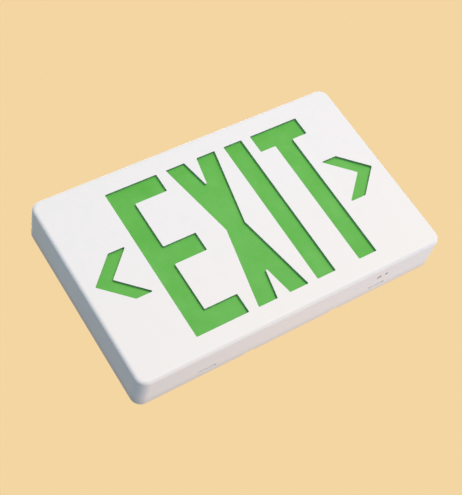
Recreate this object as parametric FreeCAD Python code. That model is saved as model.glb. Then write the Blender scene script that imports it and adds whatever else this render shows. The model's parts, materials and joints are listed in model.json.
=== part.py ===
"""Emergency exit light: a moulded shell with a cut-out legend, its electrics, and a snap-in back plate.

Millimetres. X runs along the legend, Y from the face to the wall, Z up. The origin is the middle of the
bottom side. A "depth" is a distance behind the face.
"""
import FreeCAD, Part
import math
import os

V = FreeCAD.Vector
X_DIR = V(1, 0, 0)
Y_DIR = V(0, 1, 0)
Z_DIR = V(0, 0, 1)
TINY = 1e-6
MITRED = 1

# ---------------------------------------------------------------- legend
LETTER_H = 152.4
LETTER_W = 50.8
STROKE = 19.05
LETTER_GAP = 9.525
CHEVRON_H = 47.6
CHEVRON_REACH = 24.6
CHEVRON_ARM = 16.3
LEGEND_CORNER_R = 0.8
FACE_SIDE_MARGIN = 11.6
FACE_TOP_MARGIN = 19.8
FACE_BOTTOM_MARGIN = 17.8

# ---------------------------------------------------------------- shell moulding
FACE_T = 2.4
SHELL_WALL = 2.2
CORNER_R = 9.5
FACE_EDGE_R = 3.5
ROOT_R = 1.0
BOSS_R = 3.0
BOSS_INSET = 7.6
WEB_T = 1.2
WEB_DEPTH = 8.0
STOP_RIB_T = 1.2
STOP_RIB_PROUD = 1.5
STOP_RIB_PITCH = 52.0
PRY_NOTCH_W = 10.0
PRY_NOTCH_DEPTH = 1.6

# ---------------------------------------------------------------- colour panel
PANEL_T = 1.5
PANEL_SEAT_GAP = 0.1
PANEL_SIDE_LAP = 4.6
PANEL_END_LAP = 6.2
PANEL_CORNER_R = 3.0
PANEL_BOSS_GAP = 0.8
PEG_R = 1.0
PEG_HOLE_GAP = 0.3
PEG_HEAD_R = 1.9
PEG_HEAD_T = 0.8
PEG_HEAD_GAP = 0.1
PEG_PITCH = 84.0
PEGS_PER_ROW = 4

# ---------------------------------------------------------------- screws
SCREW_R = 1.3
SCREW_HEAD_R = 2.6
SCREW_HEAD_T = 1.8
SCREW_LENGTH = 8.0
SCREW_RECESS_W = 0.6
SCREW_RECESS_DEPTH = 0.8
PILOT_GAP = 0.05
PILOT_EXTRA = 1.0
SCREW_HOLE_GAP = 0.3

# ---------------------------------------------------------------- component tray
LIGHT_CHAMBER = 10.9
TRAY_T = 1.8
TRAY_GAP = 0.6
TRAY_CORNER_R = 5.0
TRAY_RIB_T = 1.2
TRAY_RIB_H = 2.0
TRAY_RIB_END_GAP = 6.0
STANDOFF_H = 3.0
STANDOFF_R = 3.0

# ---------------------------------------------------------------- lamp strips
STRIP_BOARD_T = 1.6
STRIP_END_GAP = 12.0
STRIP_BOARD_SETBACK = 4.0
CHANNEL_T = 1.5
CHANNEL_LIP_T = 1.2
CHANNEL_FRONT_GAP = 1.4
CHANNEL_HOOK_T = 0.8
CHANNEL_HOOK_LAP = 1.0
CHANNEL_PLAY = 0.15
LED_R = 1.5
LED_FLANGE_R = 1.9
LED_FLANGE_T = 1.0
LED_STEM = 3.0
LED_PITCH = 26.0

# ---------------------------------------------------------------- main board
BOARD_W = 112.0
BOARD_H = 72.0
BOARD_T = 1.6
BOARD_EDGE_GAP = 9.7
BOARD_RISE = 3.0
BOARD_HOLE_INSET = 5.0

# Places on the main board, from its centre: along X, then along Z.
TRANSFORMER_AT = (-2.0, 7.0)
CAN_LARGE_AT = (-26.0, 16.0)
CAN_MEDIUM_AT = (-26.0, 3.0)
CAN_SMALL_AT = (17.0, 6.0)
SUPPRESSOR_AT = (31.0, 20.0)
FUSE_AT = (33.0, 3.0)
TRANSISTOR_AT = (-41.0, 2.0)
DIODE_ROW_AT = (8.0, -15.0)
RESISTOR_ROW_AT = (-22.0, -15.0)
AXIAL_PITCH = 5.0
TERMINAL_BLOCK_Z = -6.0
BATTERY_SOCKET_Z = -22.0
LED_SOCKET_X = -20.0
TEST_SOCKET_X = 10.0

CORE_W = 20.0
CORE_L = 18.0
CORE_T = 6.0
CORE_YOKE = 3.0
CORE_LEG = 5.0
COIL_GAP = 0.2
COIL_BUILD = 2.4
COIL_R = 2.0
BOBBIN_FLANGE_T = 1.0
BOBBIN_FLANGE_LAP = 0.4
BOBBIN_FOOT_L = 3.0
BOBBIN_FOOT_H = 0.6

CAN_LARGE = (5.0, 11.5)
CAN_MEDIUM = (4.0, 11.0)
CAN_SMALL = (3.15, 10.5)
CAN_BEAD_Z = 1.8
CAN_BEAD_W = 0.9
CAN_BEAD_DEPTH = 0.4
CAN_RIM_W = 0.7
CAN_RIM_H = 0.3

SUPPRESSOR_L = 18.0
SUPPRESSOR_W = 8.0
SUPPRESSOR_H = 11.0
SUPPRESSOR_EDGE_R = 0.8

FUSE_R = 4.2
FUSE_H = 7.7
FUSE_CAP_H = 1.6
FUSE_CAP_STEP = 0.3

TRANSISTOR_W = 10.0
TRANSISTOR_BODY_L = 9.0
TRANSISTOR_BODY_T = 4.4
TRANSISTOR_TAB_L = 6.5
TRANSISTOR_TAB_T = 1.3
TRANSISTOR_HOLE_R = 1.8
TRANSISTOR_LEG_W = 0.8
TRANSISTOR_LEG_T = 0.5
TRANSISTOR_LEG_L = 4.0
TRANSISTOR_LEG_PITCH = 2.54

DIODE_R = 1.35
DIODE_L = 5.2
DIODE_COUNT = 4
RESISTOR_R = 1.15
RESISTOR_WAIST_R = 0.95
RESISTOR_L = 6.4
RESISTOR_CAP_L = 1.5
RESISTOR_COUNT = 5
AXIAL_LIFT = 0.4
AXIAL_LEG_R = 0.35
AXIAL_LEG_RUN = 1.6

TERMINAL_PITCH = 5.08
TERMINAL_WAYS = 3
TERMINAL_D = 8.2
TERMINAL_H = 10.0
TERMINAL_STEP_H = 6.0
TERMINAL_STEP_D = 1.6
TERMINAL_ENTRY_R = 1.7
TERMINAL_ENTRY_H = 3.0
TERMINAL_ENTRY_L = 5.0
TERMINAL_WELL_R = 1.9
TERMINAL_WELL_L = 3.0
TERMINAL_SCREW_R = 1.7
TERMINAL_SCREW_T = 1.2
TERMINAL_SLOT_W = 0.5
TERMINAL_SLOT_DEPTH = 0.5

# ---------------------------------------------------------------- inside wiring
SOCKET_W = 7.5
SOCKET_L = 6.0
SOCKET_H = 6.0
SOCKET_WALL = 0.8
PLUG_GAP = 0.15
PLUG_REACH = 3.5
WIRE_R = 0.75
WIRE_PITCH = 1.7
WIRE_BEND = 0.45
LED_LEAD_EXIT_RUN = 12.5
LED_LEAD_END_RUN = 10.5
LED_LEAD_DEPTH = 11.0
LEAD_SLOT_W = 6.0
LEAD_SLOT_GAP = 3.0
BATTERY_LEAD_BENDS = (0.4, 0.65)
BATTERY_LEAD_DROP = 14.4
TEST_LEAD_EXIT_RUN = 20.0
TEST_LEAD_BENDS = (0.3, 0.6)
TEST_LEAD_RISE = 4.0

# ---------------------------------------------------------------- standby battery
CELL_R = 7.2
CELL_L = 50.0
CELL_COUNT = 4
CELL_GAP = 0.2
CELL_WEB_T = 9.0
CELL_END_R = 1.0
CELL_CAP_R = 4.6
CELL_CAP_DEPTH = 0.4
BATTERY_EDGE_GAP = 60.0
BATTERY_PAD_T = 1.0
BATTERY_PAD_INSET = 3.0
CRADLE_T = 1.5
CRADLE_H = 8.0
CRADLE_W = 40.0
CRADLE_GAP = 0.4
STRAP_T = 0.8
STRAP_W = 14.0
STRAP_GAP = 0.3
STRAP_BEND_R = 1.5
STRAP_FOOT = 9.0
STRAP_BOSS_H = 5.0
STRAP_BOSS_R = 3.0

# ---------------------------------------------------------------- test unit
BUTTON_X = 87.0
BUTTON_DEPTH = 14.8
BUTTON_R = 2.5
BUTTON_FIT = 0.05
BUTTON_RECESS = 0.2
BUTTON_EDGE = 0.4
BUTTON_TRAVEL = 1.5
BUTTON_FLANGE_R = 3.5
BUTTON_FLANGE_T = 1.0
BUTTON_FLANGE_GAP = 0.1
BUTTON_NECK = 1.3
BUTTON_STOP_GAP = 0.3
PLUNGER_R = 1.5
PLUNGER_SINK = 1.6
PLUNGER_FIT = 0.05
PLUNGER_HEAD_R = 2.8
PLUNGER_HEAD_T = 1.0
PLUNGER_HEAD_GAP = 0.1
SWITCH_W = 8.5
SWITCH_H = 6.8
SWITCH_WALL = 1.0
SWITCH_BORE_R = 3.2
SPRING_R = 2.1
SPRING_WIRE_R = 0.2
SPRING_TURNS = 4
SPRING_STRAIGHTS_PER_TURN = 12
SPRING_END_GAP = 0.05
LAMP_SPACING = 8.0
LAMP_R = 1.5
LAMP_HOLE_GAP = 0.25
LAMP_RECESS = 0.4
LAMP_L = 5.2
LAMP_FLANGE_R = 1.9
LAMP_FLANGE_T = 1.0
LAMP_SPACER_R = 2.1
TEST_BOARD_W = 30.0
TEST_BOARD_D = 14.0
TEST_BOARD_T = 1.6
TEST_BOARD_LEAD = 11.0
TEST_BOARD_FRONT_LAP = 6.3
TEST_POST_R = 2.4
TEST_POST_INSET = 3.0
TEST_SCREW_R = 0.9
TEST_SCREW_HEAD_R = 1.9
TEST_SCREW_HEAD_T = 1.3
TEST_SCREW_LENGTH = 6.0
TRAY_NOTCH_GAP = 2.5
TRAY_NOTCH_RISE = 3.0

# ---------------------------------------------------------------- back plate
BACK_T = 2.4
BACK_GAP = 0.35
BACK_RIM_T = 1.6
BACK_RIM_H = 8.5
BACK_SEAT_GAP = 0.1
BAY_CLEARANCE = 2.4
LATCH_X = 88.0
LATCH_W = 16.0
LATCH_SLIT_W = 1.2
LATCH_BEAD_PROUD = 0.3
LATCH_BEAD_W = 1.6
LATCH_BEAD_SETBACK = 0.5
LATCH_WINDOW_GAP = 0.6
WIRE_HOLE_R = 11.1
BUSHING_FIT = 0.1
BUSHING_BORE_R = 8.0
BUSHING_FLANGE_R = 13.5
BUSHING_FLANGE_T = 2.0
BUSHING_LIP_H = 2.0
BUSHING_LIP_R = 10.0
BUSHING_RECESS = 0.2
BOX_SLOT_R = 2.4
BOX_SLOT_L = 13.0
GANG_BOX_SPACING = 83.3
ROUND_BOX_SPACING = 88.9
KEYHOLE_SPACING = 203.2
KEYHOLE_TOP_GAP = 34.0
KEYHOLE_HEAD_R = 4.6
KEYHOLE_SHANK_R = 2.3
KEYHOLE_RISE = 8.0
KNOCKOUT_R = 11.1
KNOCKOUT_GROOVE_W = 0.8
KNOCKOUT_GROOVE_DEPTH = 1.2
KNOCKOUT_SPACING = 62.0
BACK_RIB_T = 1.2
BACK_RIB_H = 1.4
BACK_RIB_SPACING = 72.0

# ---------------------------------------------------------------- layout worked out from the sizes above
LEGEND_HALF = (2 * LETTER_W + 3 * LETTER_GAP + STROKE + (LETTER_W + STROKE) / 2) / 2
CHEVRON_TIP = LEGEND_HALF + LETTER_GAP
CHEVRON_APEX = CHEVRON_TIP + CHEVRON_ARM + CHEVRON_REACH
HALF_W = CHEVRON_APEX + FACE_SIDE_MARGIN
HEIGHT = FACE_BOTTOM_MARGIN + LETTER_H + FACE_TOP_MARGIN
MID_Z = HEIGHT / 2
LEGEND_Z = FACE_BOTTOM_MARGIN
INNER_HALF_W = HALF_W - SHELL_WALL

PANEL_FRONT = FACE_T + PANEL_SEAT_GAP
PANEL_BACK = PANEL_FRONT + PANEL_T
TRAY_FRONT = PANEL_BACK + LIGHT_CHAMBER
TRAY_BACK = TRAY_FRONT + TRAY_T
BATTERY_FRONT = TRAY_BACK + BATTERY_PAD_T
BATTERY_MID = BATTERY_FRONT + CELL_R
STRAP_FRONT = BATTERY_FRONT + 2 * CELL_R + STRAP_GAP
BACK_FRONT = STRAP_FRONT + STRAP_T + BAY_CLEARANCE
DEPTH = BACK_FRONT + BACK_T

PANEL_HALF_W = CHEVRON_APEX + PANEL_SIDE_LAP
PANEL_Z0 = LEGEND_Z - PANEL_END_LAP
PANEL_Z1 = LEGEND_Z + LETTER_H + PANEL_END_LAP
PEG_ROWS = (LEGEND_Z - PANEL_END_LAP / 2, LEGEND_Z + LETTER_H + PANEL_END_LAP / 2)
BOSS_X = HALF_W - BOSS_INSET
BOSS_ROWS = (BOSS_INSET, HEIGHT - BOSS_INSET)
PILOT_R = SCREW_R + PILOT_GAP
SCREW_HOLE_R = SCREW_R + SCREW_HOLE_GAP

TRAY_HALF_W = INNER_HALF_W - STOP_RIB_PROUD - TRAY_GAP
TRAY_Z0 = SHELL_WALL + STOP_RIB_PROUD + TRAY_GAP
TRAY_Z1 = HEIGHT - TRAY_Z0
CHANNEL_FRONT = PANEL_BACK + CHANNEL_FRONT_GAP
STRIP_FRONT = CHANNEL_FRONT + CHANNEL_LIP_T + CHANNEL_PLAY
STRIP_BACK = TRAY_FRONT - CHANNEL_PLAY
LED_DEPTH = (STRIP_FRONT + STRIP_BACK) / 2
STRIP_LOW_Z = TRAY_Z0 + CHANNEL_T + CHANNEL_PLAY
STRIP_LOW_TOP = STRIP_LOW_Z + STRIP_BOARD_T
STRIP_HIGH_Z = HEIGHT - STRIP_LOW_TOP

BOARD_FRONT = TRAY_BACK + STANDOFF_H
BOARD_BACK = BOARD_FRONT + BOARD_T
BOARD_X0 = BOARD_EDGE_GAP - TRAY_HALF_W
BOARD_X1 = BOARD_X0 + BOARD_W
BOARD_X = (BOARD_X0 + BOARD_X1) / 2
BOARD_Z = MID_Z + BOARD_RISE
BOARD_Z0 = BOARD_Z - BOARD_H / 2
BOARD_Z1 = BOARD_Z + BOARD_H / 2
LEAD_AXIS = BOARD_BACK + SOCKET_H / 2
CORE_LIFT = BOBBIN_FOOT_H + BOBBIN_FLANGE_LAP + COIL_BUILD + COIL_GAP
LED_LEAD_X = BOARD_X + LED_SOCKET_X

BATTERY_X = TRAY_HALF_W - BATTERY_EDGE_GAP
CELL_PITCH = 2 * CELL_R + CELL_GAP
CELL_REACH = (CELL_COUNT - 1) * CELL_PITCH / 2
PACK_HALF_W = CELL_REACH + CELL_R
PACK_Z0 = MID_Z - CELL_L / 2
STRAP_SPAN = PACK_HALF_W + STRAP_GAP
STRAP_SEAT = TRAY_BACK + STRAP_BOSS_H
STRAP_SCREW_X = STRAP_SPAN + STRAP_T + STRAP_FOOT / 2

BUTTON_FLANGE_Z = SHELL_WALL + BUTTON_FLANGE_GAP
BUTTON_TOP_Z = BUTTON_FLANGE_Z + BUTTON_FLANGE_T + BUTTON_NECK
SWITCH_Z = BUTTON_TOP_Z + BUTTON_TRAVEL + BUTTON_STOP_GAP
TEST_BOARD_Z = SWITCH_Z + SWITCH_H
TEST_BOARD_TOP = TEST_BOARD_Z + TEST_BOARD_T
TEST_BOARD_X0 = BUTTON_X - TEST_BOARD_LEAD
TEST_BOARD_X1 = TEST_BOARD_X0 + TEST_BOARD_W
TEST_BOARD_FRONT = BUTTON_DEPTH - TEST_BOARD_FRONT_LAP
TEST_BOARD_BACK = TEST_BOARD_FRONT + TEST_BOARD_D
TEST_POST_DEPTH = TEST_BOARD_FRONT + TEST_POST_INSET
TEST_POSTS = (TEST_BOARD_X0 + TEST_POST_INSET, TEST_BOARD_X1 - TEST_POST_INSET)
TEST_PILOT_R = TEST_SCREW_R + PILOT_GAP
PLUNGER_HEAD_Z = SWITCH_Z + SWITCH_WALL + PLUNGER_HEAD_GAP
SPRING_Z0 = PLUNGER_HEAD_Z + PLUNGER_HEAD_T + SPRING_END_GAP
SPRING_Z1 = TEST_BOARD_Z - SWITCH_WALL - SPRING_END_GAP
LAMP_X = BUTTON_X + LAMP_SPACING
TEST_LEAD_DEPTH = TEST_BOARD_BACK - SOCKET_W / 2
NOTCH_X0 = TEST_BOARD_X0 - PLUG_REACH - TRAY_NOTCH_GAP
NOTCH_X1 = TEST_BOARD_X1 + TRAY_NOTCH_GAP
NOTCH_Z = TEST_BOARD_TOP + SOCKET_H + TRAY_NOTCH_RISE

RIM_FRONT = BACK_FRONT - BACK_RIM_H
STOP_RIB_END = RIM_FRONT - BACK_SEAT_GAP
BEAD_DEPTH = RIM_FRONT + LATCH_BEAD_SETBACK
KEYHOLE_Z = HEIGHT - KEYHOLE_TOP_GAP


# ---------------------------------------------------------------- helpers
def deep(depth):
    """Y of a plane that lies a depth behind the face."""
    return depth - DEPTH / 2


def box(x0, x1, depth0, depth1, z0, z1):
    """Block between two X, two depths and two Z."""
    return Part.makeBox(x1 - x0, depth1 - depth0, z1 - z0, V(x0, deep(depth0), z0))


def plate(x0, x1, z0, z1, radius, depth0, depth1):
    """Plate parallel to the face, with rounded corners."""
    y = deep(depth0)
    diagonal = radius * math.sqrt(0.5)
    corners = [(x1 - radius, z0 + radius, 1, -1), (x1 - radius, z1 - radius, 1, 1),
               (x0 + radius, z1 - radius, -1, 1), (x0 + radius, z0 + radius, -1, -1)]
    arcs = []
    for x, z, right, up in corners:
        ends = [V(x + right * radius, y, z), V(x, y, z + up * radius)]
        if right != up:
            ends.reverse()
        middle = V(x + right * diagonal, y, z + up * diagonal)
        arcs.append((ends[0], middle, ends[1]))
    edges = []
    for index, (start, middle, end) in enumerate(arcs):
        edges.append(Part.Arc(start, middle, end).toShape())
        edges.append(Part.makeLine(end, arcs[(index + 1) % len(arcs)][0]))
    return Part.Face(Part.Wire(edges)).extrude(Y_DIR * (depth1 - depth0))


def outline_plate(points, depth0, depth1):
    """Plate parallel to the face, cut to a straight-sided outline of (x, z) points."""
    corners = [V(x, deep(depth0), z) for x, z in points]
    return Part.Face(Part.makePolygon(corners + corners[:1])).extrude(Y_DIR * (depth1 - depth0))


def bar(points, x0, x1):
    """Bar along X with a section of (depth, z) points."""
    corners = [V(x0, deep(depth), z) for depth, z in points]
    return Part.Face(Part.makePolygon(corners + corners[:1])).extrude(X_DIR * (x1 - x0))


def turned(profile, foot, axis):
    """Solid turned from (radius, height) points, with its foot at a point and its height along an axis."""
    corners = [V(radius, 0, height) for radius, height in profile]
    face = Part.Face(Part.makePolygon(corners + corners[:1]))
    solid = face.revolve(V(0, 0, 0), Z_DIR, 360)
    solid.Placement = FreeCAD.Placement(foot, FreeCAD.Rotation(Z_DIR, axis))
    return solid


def rod(radius, start, end):
    """Round bar from one point to another."""
    run = end - start
    return Part.makeCylinder(radius, run.Length, start, run)


def through_face(radius, x, z, depth0, depth1):
    """Round bar along Y."""
    return rod(radius, V(x, deep(depth0), z), V(x, deep(depth1), z))


def upright(radius, x, depth, z0, z1):
    """Round bar along Z."""
    return rod(radius, V(x, deep(depth), z0), V(x, deep(depth), z1))


def slot_cutter(half_length, radius, x, z, along, depth0, depth1):
    """Slot with round ends through a plate, centred on a point and running along X or Z."""
    reach = along * half_length
    ends = [through_face(radius, x + s * reach.x, z + s * reach.z, depth0, depth1) for s in (-1, 1)]
    side = V(reach.z, 0, reach.x).normalize() * radius
    middle = box(x - abs(reach.x) - abs(side.x), x + abs(reach.x) + abs(side.x), depth0, depth1,
                 z - abs(reach.z) - abs(side.z), z + abs(reach.z) + abs(side.z))
    return middle.fuse(ends)


def joined(base, additions):
    """One solid from a base and what grows out of it."""
    return base.fuse(additions).removeSplitter()


def trimmed(base, cutters):
    """A solid less its holes and cut-outs."""
    return base.cut(cutters)


def edges_at_depth(shape, depth):
    """Edges that lie wholly in the plane at a depth."""
    y = deep(depth)
    return [e for e in shape.Edges if all(abs(v.Y - y) < TINY for v in e.Vertexes)]


def rounded_block(shape, radius):
    """A block with every edge rounded."""
    return shape.makeFillet(radius, shape.Edges)


def screw(seat, axis, length=SCREW_LENGTH, shank_r=SCREW_R, head_r=SCREW_HEAD_R, head_t=SCREW_HEAD_T):
    """Pan-head screw with a cross recess. The head stands on the seat and points along the axis."""
    profile = [(0, -length), (shank_r, -length), (shank_r, 0), (head_r, 0), (head_r, head_t / 2),
               (head_r - head_t / 2, head_t), (0, head_t)]
    body = turned(profile, seat, axis)
    half = SCREW_RECESS_W / 2
    reach = head_r / 2
    recess = [
        Part.makeBox(2 * reach, 2 * half, SCREW_RECESS_DEPTH, V(-reach, -half, head_t - SCREW_RECESS_DEPTH)),
        Part.makeBox(2 * half, 2 * reach, SCREW_RECESS_DEPTH, V(-half, -reach, head_t - SCREW_RECESS_DEPTH)),
    ]
    for cutter in recess:
        cutter.Placement = FreeCAD.Placement(seat, FreeCAD.Rotation(Z_DIR, axis))
    return trimmed(body, recess)


def post(radius, pilot_r, pilot_length, start, end):
    """Screw post between two points, with a pilot hole from its far end."""
    axis = (end - start).normalize()
    return rod(radius, start, end), rod(pilot_r, end - axis * pilot_length, end)


def pipe_path(points):
    """Straight runs joined by arcs as large as the runs allow, and the tightest radius of those arcs."""
    edges = []
    tightest = math.inf
    start = points[0]
    for before, corner, after in zip(points, points[1:], points[2:]):
        back = before - corner
        ahead = after - corner
        cut = WIRE_BEND * min(back.Length, ahead.Length)
        half_turn = (math.pi - back.getAngle(ahead)) / 2
        radius = cut / math.tan(half_turn)
        tightest = min(tightest, radius)
        enter = corner + back.normalize() * cut
        leave = corner + ahead.normalize() * cut
        inward = (enter + leave) * 0.5 - corner
        middle = corner + inward.normalize() * (math.hypot(radius, cut) - radius)
        edges.append(Part.LineSegment(start, enter).toShape())
        edges.append(Part.Arc(enter, middle, leave).toShape())
        start = leave
    edges.append(Part.LineSegment(start, points[-1]).toShape())
    return Part.Wire(edges), tightest


def lead(points, step, count):
    """Wires side by side along one route, each a step from the last."""
    wires = []
    for index in range(count):
        shift = step * (index - (count - 1) / 2)
        path, tightest = pipe_path([point + shift for point in points])
        ring = Part.Wire(Part.makeCircle(WIRE_R, points[0] + shift, points[1] - points[0]))
        wires.append(path.makePipeShell([ring], True, False))
    print("lead, tightest radius %.1f" % tightest)
    return Part.makeCompound(wires)


def spread(centre_to_centre, limit):
    """Evenly pitched places about the middle, none further out than the limit."""
    count = int(2 * limit / centre_to_centre) + 1
    return [(index - (count - 1) / 2) * centre_to_centre for index in range(count)]


# ---------------------------------------------------------------- legend outlines
def letter_e(x):
    """E: a stem and three arms of one length."""
    z = LEGEND_Z
    arm_low = z + (LETTER_H - STROKE) / 2
    arm_high = arm_low + STROKE
    top = z + LETTER_H
    return [(x, z), (x + LETTER_W, z), (x + LETTER_W, z + STROKE), (x + STROKE, z + STROKE),
            (x + STROKE, arm_low), (x + LETTER_W, arm_low), (x + LETTER_W, arm_high), (x + STROKE, arm_high),
            (x + STROKE, top - STROKE), (x + LETTER_W, top - STROKE), (x + LETTER_W, top), (x, top)]


def letter_x(x):
    """X: straight outer sides that meet at a waist one stroke wide, with notches parallel to them."""
    z = LEGEND_Z
    middle = x + LETTER_W / 2
    waist = (LETTER_W - STROKE) / 2
    notch = (LETTER_W / 2 - STROKE) * (LETTER_H / 2) / waist
    top = z + LETTER_H
    right = x + LETTER_W
    return [(x, z), (x + STROKE, z), (middle, z + notch), (right - STROKE, z), (right, z),
            (right - waist, z + LETTER_H / 2), (right, top), (right - STROKE, top), (middle, top - notch),
            (x + STROKE, top), (x, top), (x + waist, z + LETTER_H / 2)]


def letter_i(x):
    """I: one stroke."""
    top = LEGEND_Z + LETTER_H
    return [(x, LEGEND_Z), (x + STROKE, LEGEND_Z), (x + STROKE, top), (x, top)]


def letter_t(x):
    """T: an arm across the top of a centred stem."""
    top = LEGEND_Z + LETTER_H
    stem = x + (LETTER_W - STROKE) / 2
    under = top - STROKE
    return [(stem, LEGEND_Z), (stem + STROKE, LEGEND_Z), (stem + STROKE, under), (x + LETTER_W, under),
            (x + LETTER_W, top), (x, top), (x, under), (stem, under)]


def chevron(side):
    """Arrow head that points away from the letters, on the left (-1) or the right (1)."""
    middle = LEGEND_Z + LETTER_H / 2
    half = CHEVRON_H / 2
    inner = CHEVRON_TIP
    outer = CHEVRON_TIP + CHEVRON_ARM
    points = [(inner, middle + half), (outer, middle + half), (CHEVRON_APEX, middle), (outer, middle - half),
              (inner, middle - half), (inner + CHEVRON_REACH, middle)]
    return [(side * x, z) for x, z in points]


def legend_outlines():
    """The four letters and two chevrons, as (x, z) outlines."""
    x = -LEGEND_HALF
    step = LETTER_W + LETTER_GAP
    after_i = x + 2 * step + STROKE + LETTER_GAP
    letters = [letter_e(x), letter_x(x + step), letter_i(x + 2 * step), letter_t(after_i)]
    return letters + [chevron(-1), chevron(1)]


def legend_cutter(points):
    """Cutter for one character, with the small corner radius of a moulded opening."""
    sharp = outline_plate(points, -FACE_T, 2 * FACE_T)
    corners = [edge for edge in sharp.Edges if edge.BoundBox.YLength > FACE_T]
    return sharp.makeFillet(LEGEND_CORNER_R, corners)


# ---------------------------------------------------------------- shell
def shell_blank():
    """Open tray: the face and four walls, with a rounded front edge and a rounded inside root."""
    outer = plate(-HALF_W, HALF_W, 0, HEIGHT, CORNER_R, 0, DEPTH)
    outer = outer.makeFillet(FACE_EDGE_R, edges_at_depth(outer, 0))
    cavity = plate(-INNER_HALF_W, INNER_HALF_W, SHELL_WALL, HEIGHT - SHELL_WALL, CORNER_R - SHELL_WALL,
                   FACE_T, DEPTH)
    cavity = cavity.makeFillet(ROOT_R, edges_at_depth(cavity, FACE_T))
    return outer.cut(cavity)


def peg_places():
    """Where the heat-staked pegs hold the panel, above and below the letters."""
    half_row = (PEGS_PER_ROW - 1) / 2
    return [((index - half_row) * PEG_PITCH, z) for index in range(PEGS_PER_ROW) for z in PEG_ROWS]


def panel_peg(x, z):
    """Heat-staked peg with its mushroom head behind the panel."""
    head = PANEL_BACK + PEG_HEAD_GAP - FACE_T
    profile = [(0, 0), (PEG_R, 0), (PEG_R, head), (PEG_HEAD_R, head), (PEG_HEAD_R, head + PEG_HEAD_T / 2),
               (PEG_R, head + PEG_HEAD_T), (0, head + PEG_HEAD_T)]
    return turned(profile, V(x, deep(FACE_T), z), Y_DIR)


def corner_boss_places():
    """Centres of the four bosses that carry the tray."""
    return [(x, z) for x in (-BOSS_X, BOSS_X) for z in BOSS_ROWS]


def corner_boss(x, z):
    """Boss with two webs to the walls beside it, and its pilot hole."""
    body, pilot = post(BOSS_R, PILOT_R, SCREW_LENGTH - TRAY_T + PILOT_EXTRA,
                       V(x, deep(FACE_T), z), V(x, deep(TRAY_FRONT), z))
    wall_x = math.copysign(INNER_HALF_W, x)
    wall_z = SHELL_WALL if z < MID_Z else HEIGHT - SHELL_WALL
    web_end = FACE_T + WEB_DEPTH
    webs = [
        box(min(x, wall_x), max(x, wall_x), FACE_T, web_end, z - WEB_T / 2, z + WEB_T / 2),
        box(x - WEB_T / 2, x + WEB_T / 2, FACE_T, web_end, min(z, wall_z), max(z, wall_z)),
    ]
    return [body] + webs, pilot


def over_test_unit(x):
    """Whether a place on the bottom wall lies under the test board or beside its plug."""
    return NOTCH_X0 - STOP_RIB_T < x < NOTCH_X1 + STOP_RIB_T


def stop_ribs():
    """Ribs along the walls that stiffen them and stop the back plate's rim."""
    ribs = []
    half = STOP_RIB_T / 2
    ceiling = HEIGHT - SHELL_WALL
    for x in spread(STOP_RIB_PITCH, BOSS_X - 2 * BOSS_R):
        ribs.append(box(x - half, x + half, FACE_T, STOP_RIB_END, ceiling - STOP_RIB_PROUD, ceiling))
        if not over_test_unit(x):
            ribs.append(box(x - half, x + half, FACE_T, STOP_RIB_END, SHELL_WALL,
                            SHELL_WALL + STOP_RIB_PROUD))
    for offset in spread(STOP_RIB_PITCH, MID_Z - BOSS_INSET - 2 * BOSS_R):
        z = MID_Z + offset
        for wall in (-INNER_HALF_W, INNER_HALF_W - STOP_RIB_PROUD):
            ribs.append(box(wall, wall + STOP_RIB_PROUD, FACE_T, STOP_RIB_END, z - half, z + half))
    return ribs


def latch_windows():
    """Slots through the top and bottom walls that the back plate's latches click into."""
    half = LATCH_W / 2 + LATCH_WINDOW_GAP
    low = BEAD_DEPTH - LATCH_WINDOW_GAP
    high = BEAD_DEPTH + LATCH_BEAD_W + LATCH_WINDOW_GAP
    return [box(x - half, x + half, low, high, z, z + 2 * SHELL_WALL)
            for x in (-LATCH_X, LATCH_X) for z in (-SHELL_WALL, HEIGHT - SHELL_WALL)]


def pry_notches():
    """Two notches in the rear edge of the bottom wall for a screwdriver."""
    half = PRY_NOTCH_W / 2
    return [box(x - half, x + half, DEPTH - PRY_NOTCH_DEPTH, DEPTH, -SHELL_WALL, SHELL_WALL)
            for x in (-LATCH_X / 2, LATCH_X / 2)]


def housing_shell():
    """The one-piece moulding: face, walls, legend, bosses, ribs, posts and the two holes below."""
    grown = [panel_peg(x, z) for x, z in peg_places()]
    holes = [legend_cutter(points) for points in legend_outlines()]
    for x, z in corner_boss_places():
        body, pilot = corner_boss(x, z)
        grown += body
        holes.append(pilot)
    for x in TEST_POSTS:
        body, pilot = post(TEST_POST_R, TEST_PILOT_R, TEST_SCREW_LENGTH - TEST_BOARD_T + PILOT_EXTRA,
                           V(x, deep(TEST_POST_DEPTH), SHELL_WALL), V(x, deep(TEST_POST_DEPTH), TEST_BOARD_Z))
        grown.append(body)
        holes.append(pilot)
    holes.append(upright(BUTTON_R + BUTTON_FIT, BUTTON_X, BUTTON_DEPTH, -SHELL_WALL, 2 * SHELL_WALL))
    holes.append(upright(LAMP_R + LAMP_HOLE_GAP, LAMP_X, BUTTON_DEPTH, -SHELL_WALL, 2 * SHELL_WALL))
    moulding = joined(shell_blank(), grown + stop_ribs())
    return trimmed(moulding, holes + latch_windows() + pry_notches())


def colour_panel():
    """Green sheet behind the legend, holed for the pegs and notched round the corner bosses."""
    sheet = plate(-PANEL_HALF_W, PANEL_HALF_W, PANEL_Z0, PANEL_Z1, PANEL_CORNER_R, PANEL_FRONT, PANEL_BACK)
    holes = [through_face(PEG_R + PEG_HOLE_GAP, x, z, FACE_T, TRAY_FRONT) for x, z in peg_places()]
    for x, z in corner_boss_places():
        holes.append(through_face(BOSS_R + PANEL_BOSS_GAP, x, z, FACE_T, TRAY_FRONT))
    return trimmed(sheet, holes)


# ---------------------------------------------------------------- tray and lamp strips
def strip_spans():
    """For the top (1) and bottom (-1) strips: the X where the channel starts and ends."""
    end = BOSS_X - STRIP_END_GAP
    return {1: (-end, end), -1: (-end, NOTCH_X0 - STRIP_BOARD_SETBACK)}


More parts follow.
